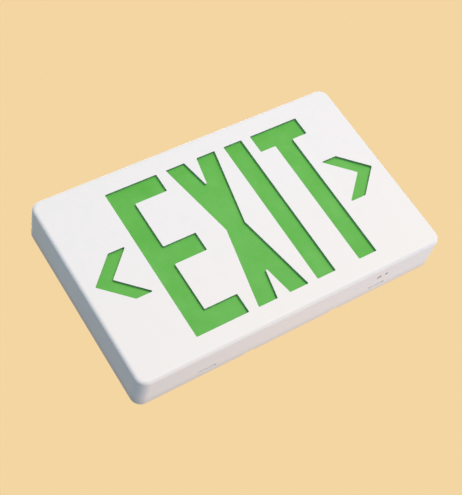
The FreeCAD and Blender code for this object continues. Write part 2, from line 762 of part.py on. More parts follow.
def mirrored_up(points, side):
    """Section points given for the bottom strip, turned over for the top one."""
    return points if side < 0 else [(depth, HEIGHT - z) for depth, z in points]


def strip_channel(side):
    """Channel on the tray's front that a lamp strip slides into: shelf, hooked lip and rear rail."""
    x0, x1 = strip_spans()[side]
    shelf = TRAY_Z0 + CHANNEL_T
    hook = STRIP_LOW_TOP + CHANNEL_PLAY
    lip_back = CHANNEL_FRONT + CHANNEL_LIP_T
    hook_end = lip_back + CHANNEL_HOOK_LAP
    hook_top = hook + CHANNEL_HOOK_T
    shelf_and_lip = [(TRAY_FRONT, TRAY_Z0), (CHANNEL_FRONT, TRAY_Z0), (CHANNEL_FRONT, hook_top),
                     (hook_end, hook_top), (hook_end, hook), (lip_back, hook), (lip_back, shelf),
                     (TRAY_FRONT, shelf)]
    rail = [(TRAY_FRONT, hook), (TRAY_FRONT - CHANNEL_HOOK_LAP, hook),
            (TRAY_FRONT, hook + CHANNEL_HOOK_LAP)]
    return [bar(mirrored_up(shelf_and_lip, side), x0, x1), bar(mirrored_up(rail, side), x0, x1)]


def led_lead_points(side):
    """Route of a lamp strip's lead: out of its plug, through the tray and on to the strip."""
    if side > 0:
        start = BOARD_Z1 + PLUG_REACH
        end = STRIP_HIGH_Z
    else:
        start = BOARD_Z0 - PLUG_REACH
        end = STRIP_LOW_TOP
    stops = [(LEAD_AXIS, start), (LEAD_AXIS, start + side * LED_LEAD_EXIT_RUN),
             (LED_LEAD_DEPTH, end - side * LED_LEAD_END_RUN), (LED_LEAD_DEPTH, end)]
    return [V(LED_LEAD_X, deep(depth), z) for depth, z in stops]


def lead_slot(side):
    """Slot in the tray where a lamp strip's lead goes through."""
    before, after = led_lead_points(side)[1:3]

    def height_at(depth):
        return before.z + (after.z - before.z) * (deep(depth) - before.y) / (after.y - before.y)

    ends = sorted((height_at(TRAY_FRONT), height_at(TRAY_BACK)))
    half = LEAD_SLOT_W / 2
    return box(LED_LEAD_X - half, LED_LEAD_X + half, PANEL_BACK, BOARD_FRONT,
               ends[0] - LEAD_SLOT_GAP, ends[1] + LEAD_SLOT_GAP)


def board_hole_places():
    """Centres of the main board's four screw holes."""
    half_w = BOARD_W / 2 - BOARD_HOLE_INSET
    half_h = BOARD_H / 2 - BOARD_HOLE_INSET
    return [(BOARD_X + sx * half_w, BOARD_Z + sz * half_h) for sx in (-1, 1) for sz in (-1, 1)]


def strap_screw_places():
    """Centres of the battery strap's two screws."""
    return [(BATTERY_X + side * STRAP_SCREW_X, MID_Z) for side in (-1, 1)]


def battery_cradle():
    """Two low walls on the tray that keep the pack from sliding up or down."""
    half = CRADLE_W / 2
    low = PACK_Z0 - CRADLE_GAP
    high = PACK_Z0 + CELL_L + CRADLE_GAP
    back = TRAY_BACK + CRADLE_H
    return [box(BATTERY_X - half, BATTERY_X + half, TRAY_BACK, back, low - CRADLE_T, low),
            box(BATTERY_X - half, BATTERY_X + half, TRAY_BACK, back, high, high + CRADLE_T)]


def tray_ribs():
    """Stiffening ribs across the tray's back, above and below the main board and battery."""
    half = TRAY_HALF_W - TRAY_RIB_END_GAP
    low = BOARD_Z0 - TRAY_RIB_END_GAP
    high = BOARD_Z1 + TRAY_RIB_END_GAP
    gap0 = LED_LEAD_X - LEAD_SLOT_W
    gap1 = LED_LEAD_X + LEAD_SLOT_W
    ribs = []
    for z in (low, high):
        for x0, x1 in ((-half, gap0), (gap1, half)):
            ribs.append(box(x0, x1, TRAY_BACK, TRAY_BACK + TRAY_RIB_H, z - TRAY_RIB_T, z))
    return ribs


def component_tray():
    """White tray: reflector and lamp channels in front, standoffs, cradle and ribs behind."""
    sheet = plate(-TRAY_HALF_W, TRAY_HALF_W, TRAY_Z0, TRAY_Z1, TRAY_CORNER_R, TRAY_FRONT, TRAY_BACK)
    grown = battery_cradle() + tray_ribs() + strip_channel(1) + strip_channel(-1)
    holes = [lead_slot(1), lead_slot(-1)]
    holes.append(box(NOTCH_X0, NOTCH_X1, PANEL_BACK, BOARD_BACK, 0, NOTCH_Z))
    holes += [through_face(SCREW_HOLE_R, x, z, PANEL_BACK, BOARD_BACK) for x, z in corner_boss_places()]
    posts = [(x, z, STANDOFF_R, BOARD_FRONT) for x, z in board_hole_places()]
    posts += [(x, z, STRAP_BOSS_R, STRAP_SEAT) for x, z in strap_screw_places()]
    for x, z, radius, seat in posts:
        body, pilot = post(radius, PILOT_R, seat - TRAY_FRONT, V(x, deep(TRAY_BACK), z), V(x, deep(seat), z))
        grown.append(body)
        holes.append(pilot)
    return trimmed(joined(sheet, grown), holes)


def tray_screws():
    """Four screws through the tray into the corner bosses."""
    return Part.makeCompound([screw(V(x, deep(TRAY_BACK), z), Y_DIR) for x, z in corner_boss_places()])


def strip_board_span(side):
    """Ends of a lamp strip's board."""
    x0, x1 = strip_spans()[side]
    return x0 + STRIP_BOARD_SETBACK, x1 - STRIP_BOARD_SETBACK


def led_board(side):
    """Narrow board that carries a row of lamps."""
    x0, x1 = strip_board_span(side)
    z = STRIP_HIGH_Z if side > 0 else STRIP_LOW_Z
    return box(x0, x1, STRIP_FRONT, STRIP_BACK, z, z + STRIP_BOARD_T)


def led_places(side):
    """X of every lamp on a strip. The strip's lead ends midway between two of them."""
    x0, x1 = strip_board_span(side)
    from_lead = LED_LEAD_X + LED_PITCH / 2
    first = math.ceil((x0 + LED_FLANGE_R - from_lead) / LED_PITCH)
    last = math.floor((x1 - LED_FLANGE_R - from_lead) / LED_PITCH)
    return [from_lead + index * LED_PITCH for index in range(first, last + 1)]


def dome_lamp(radius, flange_r, flange_t, stem, foot, axis):
    """Round-ended lamp: flange, stem and dome."""
    tip = foot + axis * (flange_t + stem)
    flange = rod(flange_r, foot, foot + axis * flange_t)
    return joined(flange, [rod(radius, foot, tip), Part.makeSphere(radius, tip)])


def led_lamps(side):
    """The lamps of one strip, shining across the chamber."""
    z = STRIP_HIGH_Z if side > 0 else STRIP_LOW_TOP
    feet = [V(x, deep(LED_DEPTH), z) for x in led_places(side)]
    return Part.makeCompound([dome_lamp(LED_R, LED_FLANGE_R, LED_FLANGE_T, LED_STEM, foot, Z_DIR * -side)
                              for foot in feet])


# ---------------------------------------------------------------- main board and its parts
def on_board(place, height=0.0):
    """Point over the main board's back, from a place given about its centre."""
    x, z = place
    return V(BOARD_X + x, deep(BOARD_BACK + height), BOARD_Z + z)


def main_board():
    """Charger and driver board."""
    sheet = box(BOARD_X0, BOARD_X1, BOARD_FRONT, BOARD_BACK, BOARD_Z0, BOARD_Z1)
    holes = [through_face(SCREW_HOLE_R, x, z, TRAY_BACK, BACK_FRONT) for x, z in board_hole_places()]
    return trimmed(sheet, holes)


def main_board_screws():
    """Four screws through the main board into its standoffs."""
    length = BOARD_T + STANDOFF_H
    seats = [V(x, deep(BOARD_BACK), z) for x, z in board_hole_places()]
    return Part.makeCompound([screw(seat, Y_DIR, length) for seat in seats])


def board_block(place, width, length, height0, height1):
    """Block over the main board, centred on a place."""
    centre = on_board(place)
    return box(centre.x - width / 2, centre.x + width / 2, BOARD_BACK + height0, BOARD_BACK + height1,
               centre.z - length / 2, centre.z + length / 2)


def transformer_core():
    """Ferrite core: a frame of two E halves with a centre leg."""
    top = CORE_LIFT + CORE_T
    frame = board_block(TRANSFORMER_AT, CORE_W, CORE_L, CORE_LIFT, top)
    window = board_block(TRANSFORMER_AT, CORE_W - 2 * CORE_YOKE, CORE_L - 2 * CORE_YOKE, CORE_LIFT, top)
    leg = board_block(TRANSFORMER_AT, CORE_LEG, CORE_L, CORE_LIFT, top)
    return joined(frame.cut(window), [leg])


def transformer_coil():
    """Bobbin and winding round the centre leg, standing on two feet."""
    hole_w = CORE_LEG + 2 * COIL_GAP
    hole_t = CORE_T + 2 * COIL_GAP
    middle = CORE_LIFT + CORE_T / 2
    winding_l = CORE_L - 2 * (CORE_YOKE + COIL_GAP)
    width = min(hole_w + 2 * COIL_BUILD, CORE_W - 2 * (CORE_YOKE + COIL_GAP))
    height = hole_t + 2 * COIL_BUILD
    winding = board_block(TRANSFORMER_AT, width, winding_l, middle - height / 2, middle + height / 2)
    long_edges = [e for e in winding.Edges if abs(e.Length - winding_l) < TINY]
    winding = winding.makeFillet(min(COIL_R, width / 4), long_edges)
    x, z = TRANSFORMER_AT
    flanges = []
    for side in (-1, 1):
        place = (x, z + side * (winding_l - BOBBIN_FLANGE_T) / 2)
        flanges.append(board_block(place, width, BOBBIN_FLANGE_T, middle - height / 2 - BOBBIN_FLANGE_LAP,
                                   middle + height / 2 + BOBBIN_FLANGE_LAP))
        foot = (x, z + side * (winding_l - BOBBIN_FOOT_L) / 2)
        flanges.append(board_block(foot, width, BOBBIN_FOOT_L, 0, CORE_LIFT - COIL_GAP))
    bore = board_block(TRANSFORMER_AT, hole_w, CORE_L, middle - hole_t / 2, middle + hole_t / 2)
    return trimmed(joined(winding, flanges), [bore])


def can_capacitor(place, size):
    """Aluminium can with a rolled bead near its foot and a raised rim at its end."""
    radius, height = size
    neck = radius - CAN_BEAD_DEPTH
    rim = radius - CAN_RIM_W
    bead_end = CAN_BEAD_Z + CAN_BEAD_W
    soft = CAN_BEAD_W / 3
    dish = height - CAN_RIM_H
    profile = [(0, 0), (radius, 0), (radius, CAN_BEAD_Z), (neck, CAN_BEAD_Z + soft), (neck, bead_end - soft),
               (radius, bead_end), (radius, dish), (radius - CAN_RIM_H, height), (rim, height), (rim, dish),
               (0, dish)]
    return turned(profile, on_board(place), Y_DIR)


def electrolytic_capacitors():
    """Three can capacitors."""
    cans = ((CAN_LARGE_AT, CAN_LARGE), (CAN_MEDIUM_AT, CAN_MEDIUM), (CAN_SMALL_AT, CAN_SMALL))
    return Part.makeCompound([can_capacitor(place, size) for place, size in cans])


def suppressor_capacitor():
    """Boxed film capacitor across the supply."""
    block = board_block(SUPPRESSOR_AT, SUPPRESSOR_L, SUPPRESSOR_W, 0, SUPPRESSOR_H)
    return rounded_block(block, SUPPRESSOR_EDGE_R)


def fuse():
    """Round board fuse with a stepped cap."""
    step = FUSE_R - FUSE_CAP_STEP
    shoulder = FUSE_H - FUSE_CAP_H
    profile = [(0, 0), (step, 0), (step, shoulder), (FUSE_R, shoulder), (FUSE_R, FUSE_H - FUSE_CAP_STEP),
               (step, FUSE_H), (0, FUSE_H)]
    return turned(profile, on_board(FUSE_AT), Y_DIR)


def power_transistor():
    """Power transistor laid flat on its tab, with three cranked legs."""
    x, z = TRANSISTOR_AT
    tab_l = TRANSISTOR_BODY_L + TRANSISTOR_TAB_L
    tab = board_block((x, z + TRANSISTOR_TAB_L / 2), TRANSISTOR_W, tab_l, 0, TRANSISTOR_TAB_T)
    body = board_block(TRANSISTOR_AT, TRANSISTOR_W, TRANSISTOR_BODY_L, 0, TRANSISTOR_BODY_T)
    leg_z = z - (TRANSISTOR_BODY_L + TRANSISTOR_LEG_L) / 2
    leg_height = TRANSISTOR_BODY_T / 2
    legs = []
    for index in (-1, 0, 1):
        leg_x = x + index * TRANSISTOR_LEG_PITCH
        legs.append(board_block((leg_x, leg_z), TRANSISTOR_LEG_W, TRANSISTOR_LEG_L,
                                leg_height, leg_height + TRANSISTOR_LEG_T))
        end = (leg_x, leg_z - (TRANSISTOR_LEG_L - TRANSISTOR_LEG_T) / 2)
        legs.append(board_block(end, TRANSISTOR_LEG_W, TRANSISTOR_LEG_T, 0, leg_height))
    tab_middle = on_board((x, z + tab_l / 2))
    hole = through_face(TRANSISTOR_HOLE_R, tab_middle.x, tab_middle.z, BOARD_FRONT, BACK_FRONT)
    return trimmed(joined(tab, [body] + legs), [hole])


def axial_part(place, profile, length, radius):
    """Part that lies along Z over the board on two bent wire legs."""
    height = radius + AXIAL_LIFT
    centre = on_board(place, height)
    body = turned(profile, centre - Z_DIR * (length / 2), Z_DIR)
    legs = []
    for side in (-1, 1):
        shoulder = centre + Z_DIR * side * (length / 2 + AXIAL_LEG_RUN)
        legs.append(rod(AXIAL_LEG_R, centre, shoulder))
        legs.append(Part.makeSphere(AXIAL_LEG_R, shoulder))
        legs.append(rod(AXIAL_LEG_R, shoulder, shoulder - Y_DIR * height))
    return joined(body, legs)


def axial_row(start, count, profile, length, radius):
    """Like axial parts side by side."""
    x, z = start
    return Part.makeCompound([axial_part((x + index * AXIAL_PITCH, z), profile, length, radius)
                              for index in range(count)])


def diodes():
    """Rectifier diodes."""
    profile = [(0, 0), (DIODE_R, 0), (DIODE_R, DIODE_L), (0, DIODE_L)]
    return axial_row(DIODE_ROW_AT, DIODE_COUNT, profile, DIODE_L, DIODE_R)


def resistors():
    """Resistors with swollen ends."""
    waist = RESISTOR_L - RESISTOR_CAP_L
    soft = RESISTOR_CAP_L / 3
    profile = [(0, 0), (RESISTOR_WAIST_R, 0), (RESISTOR_R, soft), (RESISTOR_R, 2 * soft),
               (RESISTOR_WAIST_R, RESISTOR_CAP_L), (RESISTOR_WAIST_R, waist), (RESISTOR_R, waist + soft),
               (RESISTOR_R, waist + 2 * soft), (RESISTOR_WAIST_R, RESISTOR_L), (0, RESISTOR_L)]
    return axial_row(RESISTOR_ROW_AT, RESISTOR_COUNT, profile, RESISTOR_L, RESISTOR_R)


def terminal_places():
    """Z of each way of the terminal block."""
    middle = BOARD_Z + TERMINAL_BLOCK_Z
    return [middle + (index - (TERMINAL_WAYS - 1) / 2) * TERMINAL_PITCH for index in range(TERMINAL_WAYS)]


def mains_terminal_block():
    """Screw terminal block at the board's inner edge: stepped front, wire entries and screw wells."""
    x0 = BOARD_X1 - TERMINAL_D
    middle = BOARD_Z + TERMINAL_BLOCK_Z
    half = TERMINAL_WAYS * TERMINAL_PITCH / 2
    section = [(x0, 0), (BOARD_X1, 0), (BOARD_X1, TERMINAL_STEP_H), (BOARD_X1 - TERMINAL_STEP_D, TERMINAL_H),
               (x0, TERMINAL_H)]
    corners = [V(x, deep(BOARD_BACK + height), middle - half) for x, height in section]
    body = Part.Face(Part.makePolygon(corners + corners[:1])).extrude(Z_DIR * (2 * half))
    well_x = x0 + (TERMINAL_D - TERMINAL_STEP_D) / 2
    entry = deep(BOARD_BACK + TERMINAL_ENTRY_H)
    holes = []
    for z in terminal_places():
        mouth = V(BOARD_X1, entry, z)
        holes.append(rod(TERMINAL_ENTRY_R, mouth - X_DIR * TERMINAL_ENTRY_L, mouth))
        holes.append(through_face(TERMINAL_WELL_R, well_x, z, BOARD_BACK + TERMINAL_H - TERMINAL_WELL_L,
                                  BOARD_BACK + TERMINAL_H))
    return trimmed(body, holes)


def terminal_screws():
    """Slotted clamp screws at the bottom of the terminal block's wells."""
    x = BOARD_X1 - TERMINAL_D + (TERMINAL_D - TERMINAL_STEP_D) / 2
    seat = BOARD_BACK + TERMINAL_H - TERMINAL_WELL_L
    top = seat + TERMINAL_SCREW_T
    half = TERMINAL_SLOT_W / 2
    screws = []
    for z in terminal_places():
        head = through_face(TERMINAL_SCREW_R, x, z, seat, top)
        slot = box(x - TERMINAL_SCREW_R, x + TERMINAL_SCREW_R, top - TERMINAL_SLOT_DEPTH, top,
                   z - half, z + half)
        screws.append(trimmed(head, [slot]))
    return Part.makeCompound(screws)


# ---------------------------------------------------------------- sockets, plugs and leads
def socket_frames():
    """Each socket: the middle of its open end on the board, the way it faces, and its board's normal."""
    return [
        (V(LED_LEAD_X, deep(BOARD_BACK), BOARD_Z1), Z_DIR, Y_DIR),
        (V(LED_LEAD_X, deep(BOARD_BACK), BOARD_Z0), -Z_DIR, Y_DIR),
        (V(BOARD_X + TEST_SOCKET_X, deep(BOARD_BACK), BOARD_Z0), -Z_DIR, Y_DIR),
        (V(BOARD_X1, deep(BOARD_BACK), BOARD_Z + BATTERY_SOCKET_Z), X_DIR, Y_DIR),
        (V(TEST_BOARD_X0, deep(TEST_LEAD_DEPTH), TEST_BOARD_TOP), -X_DIR, Z_DIR),
    ]


def framed_block(origin, facing, normal, side_half, along0, along1, up0, up1):
    """Block in a socket's own directions: across it, the way it faces, and away from its board."""
    across = facing.cross(normal)
    corner = V(min(along0, along1), -side_half, up0)
    block = Part.makeBox(abs(along1 - along0), 2 * side_half, up1 - up0, corner)
    turn = FreeCAD.Matrix(facing.x, -across.x, normal.x, origin.x,
                          facing.y, -across.y, normal.y, origin.y,
                          facing.z, -across.z, normal.z, origin.z)
    return block.transformGeometry(turn)


def lead_sockets():
    """Side-entry sockets at the boards' edges."""
    sockets = []
    inner = SOCKET_W / 2 - SOCKET_WALL
    for origin, facing, normal in socket_frames():
        body = framed_block(origin, facing, normal, SOCKET_W / 2, -SOCKET_L, 0, 0, SOCKET_H)
        mouth = framed_block(origin, facing, normal, inner, SOCKET_WALL - SOCKET_L, 0,
                             SOCKET_WALL, SOCKET_H - SOCKET_WALL)
        sockets.append(trimmed(body, [mouth]))
    return Part.makeCompound(sockets)


def lead_plugs():
    """Plugs seated in the sockets, each standing out of its socket's mouth."""
    plugs = []
    inset = SOCKET_WALL + PLUG_GAP
    for origin, facing, normal in socket_frames():
        plugs.append(framed_block(origin, facing, normal, SOCKET_W / 2 - inset, inset - SOCKET_L, PLUG_REACH,
                                  inset, SOCKET_H - inset))
    return Part.makeCompound(plugs)


def led_leads():
    """Two-wire leads from the main board to both lamp strips."""
    return Part.makeCompound([lead(led_lead_points(side), X_DIR * WIRE_PITCH, 2) for side in (1, -1)])


def battery_lead():
    """Two-wire lead from the battery's lower end to the main board."""
    start = BOARD_X1 + PLUG_REACH
    socket_z = BOARD_Z + BATTERY_SOCKET_Z
    end_x = BATTERY_X - CELL_REACH
    low = PACK_Z0 - BATTERY_LEAD_DROP
    first, second = [start + share * (end_x - start) for share in BATTERY_LEAD_BENDS]
    route = [(start, socket_z), (first, socket_z), (second, low), (end_x, low), (end_x, PACK_Z0)]
    return lead([V(x, deep(LEAD_AXIS), z) for x, z in route], Y_DIR * WIRE_PITCH, 2)


def test_lead():
    """Two-wire lead from the main board to the test board, along the tray's lower edge."""
    x = BOARD_X + TEST_SOCKET_X
    start = BOARD_Z0 - PLUG_REACH
    end_z = TEST_BOARD_TOP + SOCKET_H / 2
    end_x = TEST_BOARD_X0 - PLUG_REACH
    first, second = [x + share * (end_x - x) for share in TEST_LEAD_BENDS]
    route = [(x, LEAD_AXIS, start), (x, LEAD_AXIS, start - TEST_LEAD_EXIT_RUN),
             (first, TEST_LEAD_DEPTH, end_z + TEST_LEAD_RISE), (second, TEST_LEAD_DEPTH, end_z),
             (end_x, TEST_LEAD_DEPTH, end_z)]
    return lead([V(px, deep(depth), z) for px, depth, z in route], Y_DIR * WIRE_PITCH, 2)


# ---------------------------------------------------------------- battery
def battery_pack():
    """Shrink-wrapped row of cells: scalloped section, rounded ends, a shallow dish at each cell's end."""
    centres = [BATTERY_X - CELL_REACH + index * CELL_PITCH for index in range(CELL_COUNT)]
    top = PACK_Z0 + CELL_L
    cells = []
    for x in centres:
        cell = upright(CELL_R, x, BATTERY_MID, PACK_Z0, top)
        ends = [e for e in cell.Edges if e.Closed]
        cells.append(cell.makeFillet(CELL_END_R, ends))
    half = CELL_WEB_T / 2
    web = box(centres[0], centres[-1], BATTERY_MID - half, BATTERY_MID + half,
              PACK_Z0 + CELL_END_R, top - CELL_END_R)
    dishes = [upright(CELL_CAP_R, x, BATTERY_MID, top - CELL_CAP_DEPTH, top) for x in centres]
    return trimmed(joined(web, cells), dishes)


def battery_pad():
    """Foam pad between the tray and the battery."""
    half = PACK_HALF_W - BATTERY_PAD_INSET
    return box(BATTERY_X - half, BATTERY_X + half, TRAY_BACK, BATTERY_FRONT,
               PACK_Z0 + BATTERY_PAD_INSET, PACK_Z0 + CELL_L - BATTERY_PAD_INSET)


def strap_outline(side, seat, span, top):
    """Half of the strap's outer or inner line, from its foot to the middle, as (x, depth) points."""
    return [(BATTERY_X + side * (STRAP_SPAN + STRAP_T + STRAP_FOOT), seat), (BATTERY_X + side * span, seat),
            (BATTERY_X + side * span, top)]


def battery_strap():
    """Bent steel strap over the pack, with a screw hole in each foot."""
    outer = strap_outline(-1, STRAP_SEAT + STRAP_T, STRAP_SPAN + STRAP_T, STRAP_FRONT + STRAP_T)
    outer += strap_outline(1, STRAP_SEAT + STRAP_T, STRAP_SPAN + STRAP_T, STRAP_FRONT + STRAP_T)[::-1]
    inner = strap_outline(1, STRAP_SEAT, STRAP_SPAN, STRAP_FRONT)
    inner += strap_outline(-1, STRAP_SEAT, STRAP_SPAN, STRAP_FRONT)[::-1]
    low = MID_Z - STRAP_W / 2
    corners = [V(x, deep(depth), low) for x, depth in outer + inner]
    sheet = Part.Face(Part.makePolygon(corners + corners[:1])).extrude(Z_DIR * STRAP_W)
    outer_bends = bend_edges(sheet, STRAP_SPAN + STRAP_T, STRAP_FRONT + STRAP_T)
    outer_bends += bend_edges(sheet, STRAP_SPAN, STRAP_SEAT)
    inner_bends = bend_edges(sheet, STRAP_SPAN, STRAP_FRONT)
    inner_bends += bend_edges(sheet, STRAP_SPAN + STRAP_T, STRAP_SEAT + STRAP_T)
    sheet = sheet.makeFillet(STRAP_BEND_R, outer_bends)
    inner_bends = [e for e in sheet.Edges for old in inner_bends if same_edge(e, old)]
    sheet = sheet.makeFillet(STRAP_BEND_R - STRAP_T, inner_bends)
    holes = [through_face(SCREW_HOLE_R, x, z, TRAY_BACK, BACK_FRONT) for x, z in strap_screw_places()]
    return trimmed(sheet, holes)


def bend_edges(sheet, span, depth):
    """The strap's straight edges along Z at a distance from its middle and a depth."""
    found = []
    for edge in sheet.Edges:
        ends = [v.Point for v in edge.Vertexes]
        along = abs(ends[0].z - ends[-1].z) > TINY
        level = all(abs(p.y - deep(depth)) < TINY for p in ends)
        aside = all(abs(abs(p.x - BATTERY_X) - span) < TINY for p in ends)
        if along and level and aside:
            found.append(edge)
    return found


def same_edge(edge, other):
    """Whether two edges lie in the same place."""
    return (edge.CenterOfMass - other.CenterOfMass).Length < TINY and abs(edge.Length - other.Length) < TINY


def strap_screws():
    """Two screws through the strap's feet."""
    length = STRAP_T + STRAP_BOSS_H
    return Part.makeCompound([screw(V(x, deep(STRAP_SEAT + STRAP_T), z), Y_DIR, length)
                              for x, z in strap_screw_places()])


# ---------------------------------------------------------------- test unit
def test_board():
    """Small board over the bottom wall."""
    sheet = box(TEST_BOARD_X0, TEST_BOARD_X1, TEST_BOARD_FRONT, TEST_BOARD_BACK, TEST_BOARD_Z, TEST_BOARD_TOP)
    hole_r = TEST_SCREW_R + SCREW_HOLE_GAP
    return trimmed(sheet, [upright(hole_r, x, TEST_POST_DEPTH, 0, HEIGHT) for x in TEST_POSTS])


def test_board_screws():
    """Two screws down through the test board into the shell's posts."""
    seats = [V(x, deep(TEST_POST_DEPTH), TEST_BOARD_TOP) for x in TEST_POSTS]
    size = (TEST_SCREW_LENGTH, TEST_SCREW_R, TEST_SCREW_HEAD_R, TEST_SCREW_HEAD_T)
    return Part.makeCompound([screw(seat, Z_DIR, *size) for seat in seats])


def test_switch():
    """Push switch under the test board: a box with a round bore and a guide hole for its plunger."""
    half = SWITCH_W / 2
    body = box(BUTTON_X - half, BUTTON_X + half, BUTTON_DEPTH - half, BUTTON_DEPTH + half, SWITCH_Z,
               TEST_BOARD_Z)
    bore = upright(SWITCH_BORE_R, BUTTON_X, BUTTON_DEPTH, SWITCH_Z + SWITCH_WALL, TEST_BOARD_Z - SWITCH_WALL)
    guide = upright(PLUNGER_R + PLUNGER_FIT, BUTTON_X, BUTTON_DEPTH, SWITCH_Z, SWITCH_Z + SWITCH_WALL)
    return trimmed(body, [bore, guide])


def button_axis(z):
    """Point on the button's axis."""
    return V(BUTTON_X, deep(BUTTON_DEPTH), z)


def switch_plunger():
    """Plunger with a head inside the switch and its foot in the button."""
    foot = BUTTON_TOP_Z - PLUNGER_SINK
    neck = PLUNGER_HEAD_Z - foot
    profile = [(0, 0), (PLUNGER_R, 0), (PLUNGER_R, neck), (PLUNGER_HEAD_R, neck),
               (PLUNGER_HEAD_R, neck + PLUNGER_HEAD_T), (0, neck + PLUNGER_HEAD_T)]
    return turned(profile, button_axis(foot), Z_DIR)


def switch_spring():
    """Return spring between the plunger's head and the switch's roof, its wire in short mitred straights."""
    height = SPRING_Z1 - SPRING_Z0 - 2 * SPRING_WIRE_R
    count = SPRING_TURNS * SPRING_STRAIGHTS_PER_TURN
    foot = button_axis(SPRING_Z0 + SPRING_WIRE_R)
    points = []
    for index in range(count + 1):
        turn = 2 * math.pi * index / SPRING_STRAIGHTS_PER_TURN
        points.append(foot + V(SPRING_R * math.cos(turn), SPRING_R * math.sin(turn), height * index / count))
    ring = Part.Wire(Part.makeCircle(SPRING_WIRE_R, points[0], points[1] - points[0]))
    return Part.makePolygon(points).makePipeShell([ring], True, False, MITRED)


def test_button():
    """Round push button: eased end, a flange that stops it inside the wall, and a socket for the plunger."""
    length = BUTTON_TOP_Z - BUTTON_RECESS
    flange = BUTTON_FLANGE_Z - BUTTON_RECESS
    socket = length - PLUNGER_SINK
    socket_r = PLUNGER_R + PLUNGER_FIT
    profile = [(0, 0), (BUTTON_R - BUTTON_EDGE, 0), (BUTTON_R, BUTTON_EDGE), (BUTTON_R, flange),
               (BUTTON_FLANGE_R, flange), (BUTTON_FLANGE_R, flange + BUTTON_FLANGE_T),
               (BUTTON_R, flange + BUTTON_FLANGE_T), (BUTTON_R, length), (socket_r, length),
               (socket_r, socket), (0, socket)]
    return turned(profile, button_axis(BUTTON_RECESS), Z_DIR)


def status_lamp():
    """Round-ended lamp in the bottom wall's second hole."""
    foot = V(LAMP_X, deep(BUTTON_DEPTH), LAMP_RECESS + LAMP_L)
    stem = LAMP_L - LAMP_FLANGE_T - LAMP_R
    return dome_lamp(LAMP_R, LAMP_FLANGE_R, LAMP_FLANGE_T, stem, foot, -Z_DIR)


def lamp_spacer():
    """Tube that holds the lamp off the test board."""
    return upright(LAMP_SPACER_R, LAMP_X, BUTTON_DEPTH, LAMP_RECESS + LAMP_L, TEST_BOARD_Z)


# ---------------------------------------------------------------- back plate
def latch_slits_and_beads():
    """Slits that free each latch from the rim, and the beads on the latches."""
    slits = []
    beads = []
    rim_z = SHELL_WALL + BACK_GAP
    bead_end = BEAD_DEPTH + LATCH_BEAD_W
    for x in (-LATCH_X, LATCH_X):
        for side in (-1, 1):
            wall = rim_z if side < 0 else HEIGHT - rim_z
            crest = wall + side * LATCH_BEAD_PROUD
            root = wall - side * BACK_RIM_T / 2
            section = [(BEAD_DEPTH, wall), (BEAD_DEPTH + LATCH_BEAD_W / 2, crest), (bead_end, wall),
                       (bead_end, root), (BEAD_DEPTH, root)]
            beads.append(bar(section, x - LATCH_W / 2, x + LATCH_W / 2))
            low, high = sorted((wall + side * BACK_RIM_T, wall - side * 2 * BACK_RIM_T))
            for edge in (x - LATCH_W / 2 - LATCH_SLIT_W, x + LATCH_W / 2):
                slits.append(box(edge, edge + LATCH_SLIT_W, RIM_FRONT, BACK_FRONT, low, high))
    return slits, beads


def keyhole(x):
    """Keyhole for a wall screw's head, with the slot above it."""
    head = through_face(KEYHOLE_HEAD_R, x, KEYHOLE_Z, RIM_FRONT, DEPTH)
    half = KEYHOLE_RISE / 2
    slot = slot_cutter(half, KEYHOLE_SHANK_R, x, KEYHOLE_Z + half, Z_DIR, RIM_FRONT, DEPTH)
    return head.fuse(slot)


def knockout_groove(x):
    """Ring groove in the plate's inner face round a knock-out."""
    end = BACK_FRONT + KNOCKOUT_GROOVE_DEPTH
    outer = through_face(KNOCKOUT_R, x, MID_Z, BACK_FRONT, end)
    return outer.cut(through_face(KNOCKOUT_R - KNOCKOUT_GROOVE_W, x, MID_Z, BACK_FRONT, end))


def back_ribs():
    """Low ribs across the plate's inner face."""
    reach = INNER_HALF_W - BACK_GAP - BACK_RIM_T
    half = BACK_RIB_T / 2
    return [box(-reach, reach, BACK_FRONT - BACK_RIB_H, BACK_FRONT, z - half, z + half)
            for z in (MID_Z - BACK_RIB_SPACING, MID_Z + BACK_RIB_SPACING)]


def back_plate():
    """Snap-in back: plate, slit rim with latches, wire hole, box slots, keyholes and knock-outs."""
    inset = SHELL_WALL + BACK_GAP
    radius = CORNER_R - inset
    inner = inset + BACK_RIM_T
    tub = plate(-HALF_W + inset, HALF_W - inset, inset, HEIGHT - inset, radius, RIM_FRONT, DEPTH)
    well = plate(-HALF_W + inner, HALF_W - inner, inner, HEIGHT - inner, radius - BACK_RIM_T,
                 RIM_FRONT, BACK_FRONT)
    slits, beads = latch_slits_and_beads()
    holes = [through_face(WIRE_HOLE_R, 0, MID_Z, RIM_FRONT, DEPTH)]
    holes += [keyhole(side * KEYHOLE_SPACING / 2) for side in (-1, 1)]
    holes += [knockout_groove(side * KNOCKOUT_SPACING) for side in (-1, 1)]
    half_slot = BOX_SLOT_L / 2 - BOX_SLOT_R
    for side in (-1, 1):
        holes.append(slot_cutter(half_slot, BOX_SLOT_R, 0, MID_Z + side * GANG_BOX_SPACING / 2, Z_DIR,
                                 RIM_FRONT, DEPTH))
        holes.append(slot_cutter(half_slot, BOX_SLOT_R, side * ROUND_BOX_SPACING / 2, MID_Z, X_DIR,
                                 RIM_FRONT, DEPTH))
    return trimmed(joined(tub.cut(well), beads + back_ribs()), slits + holes)


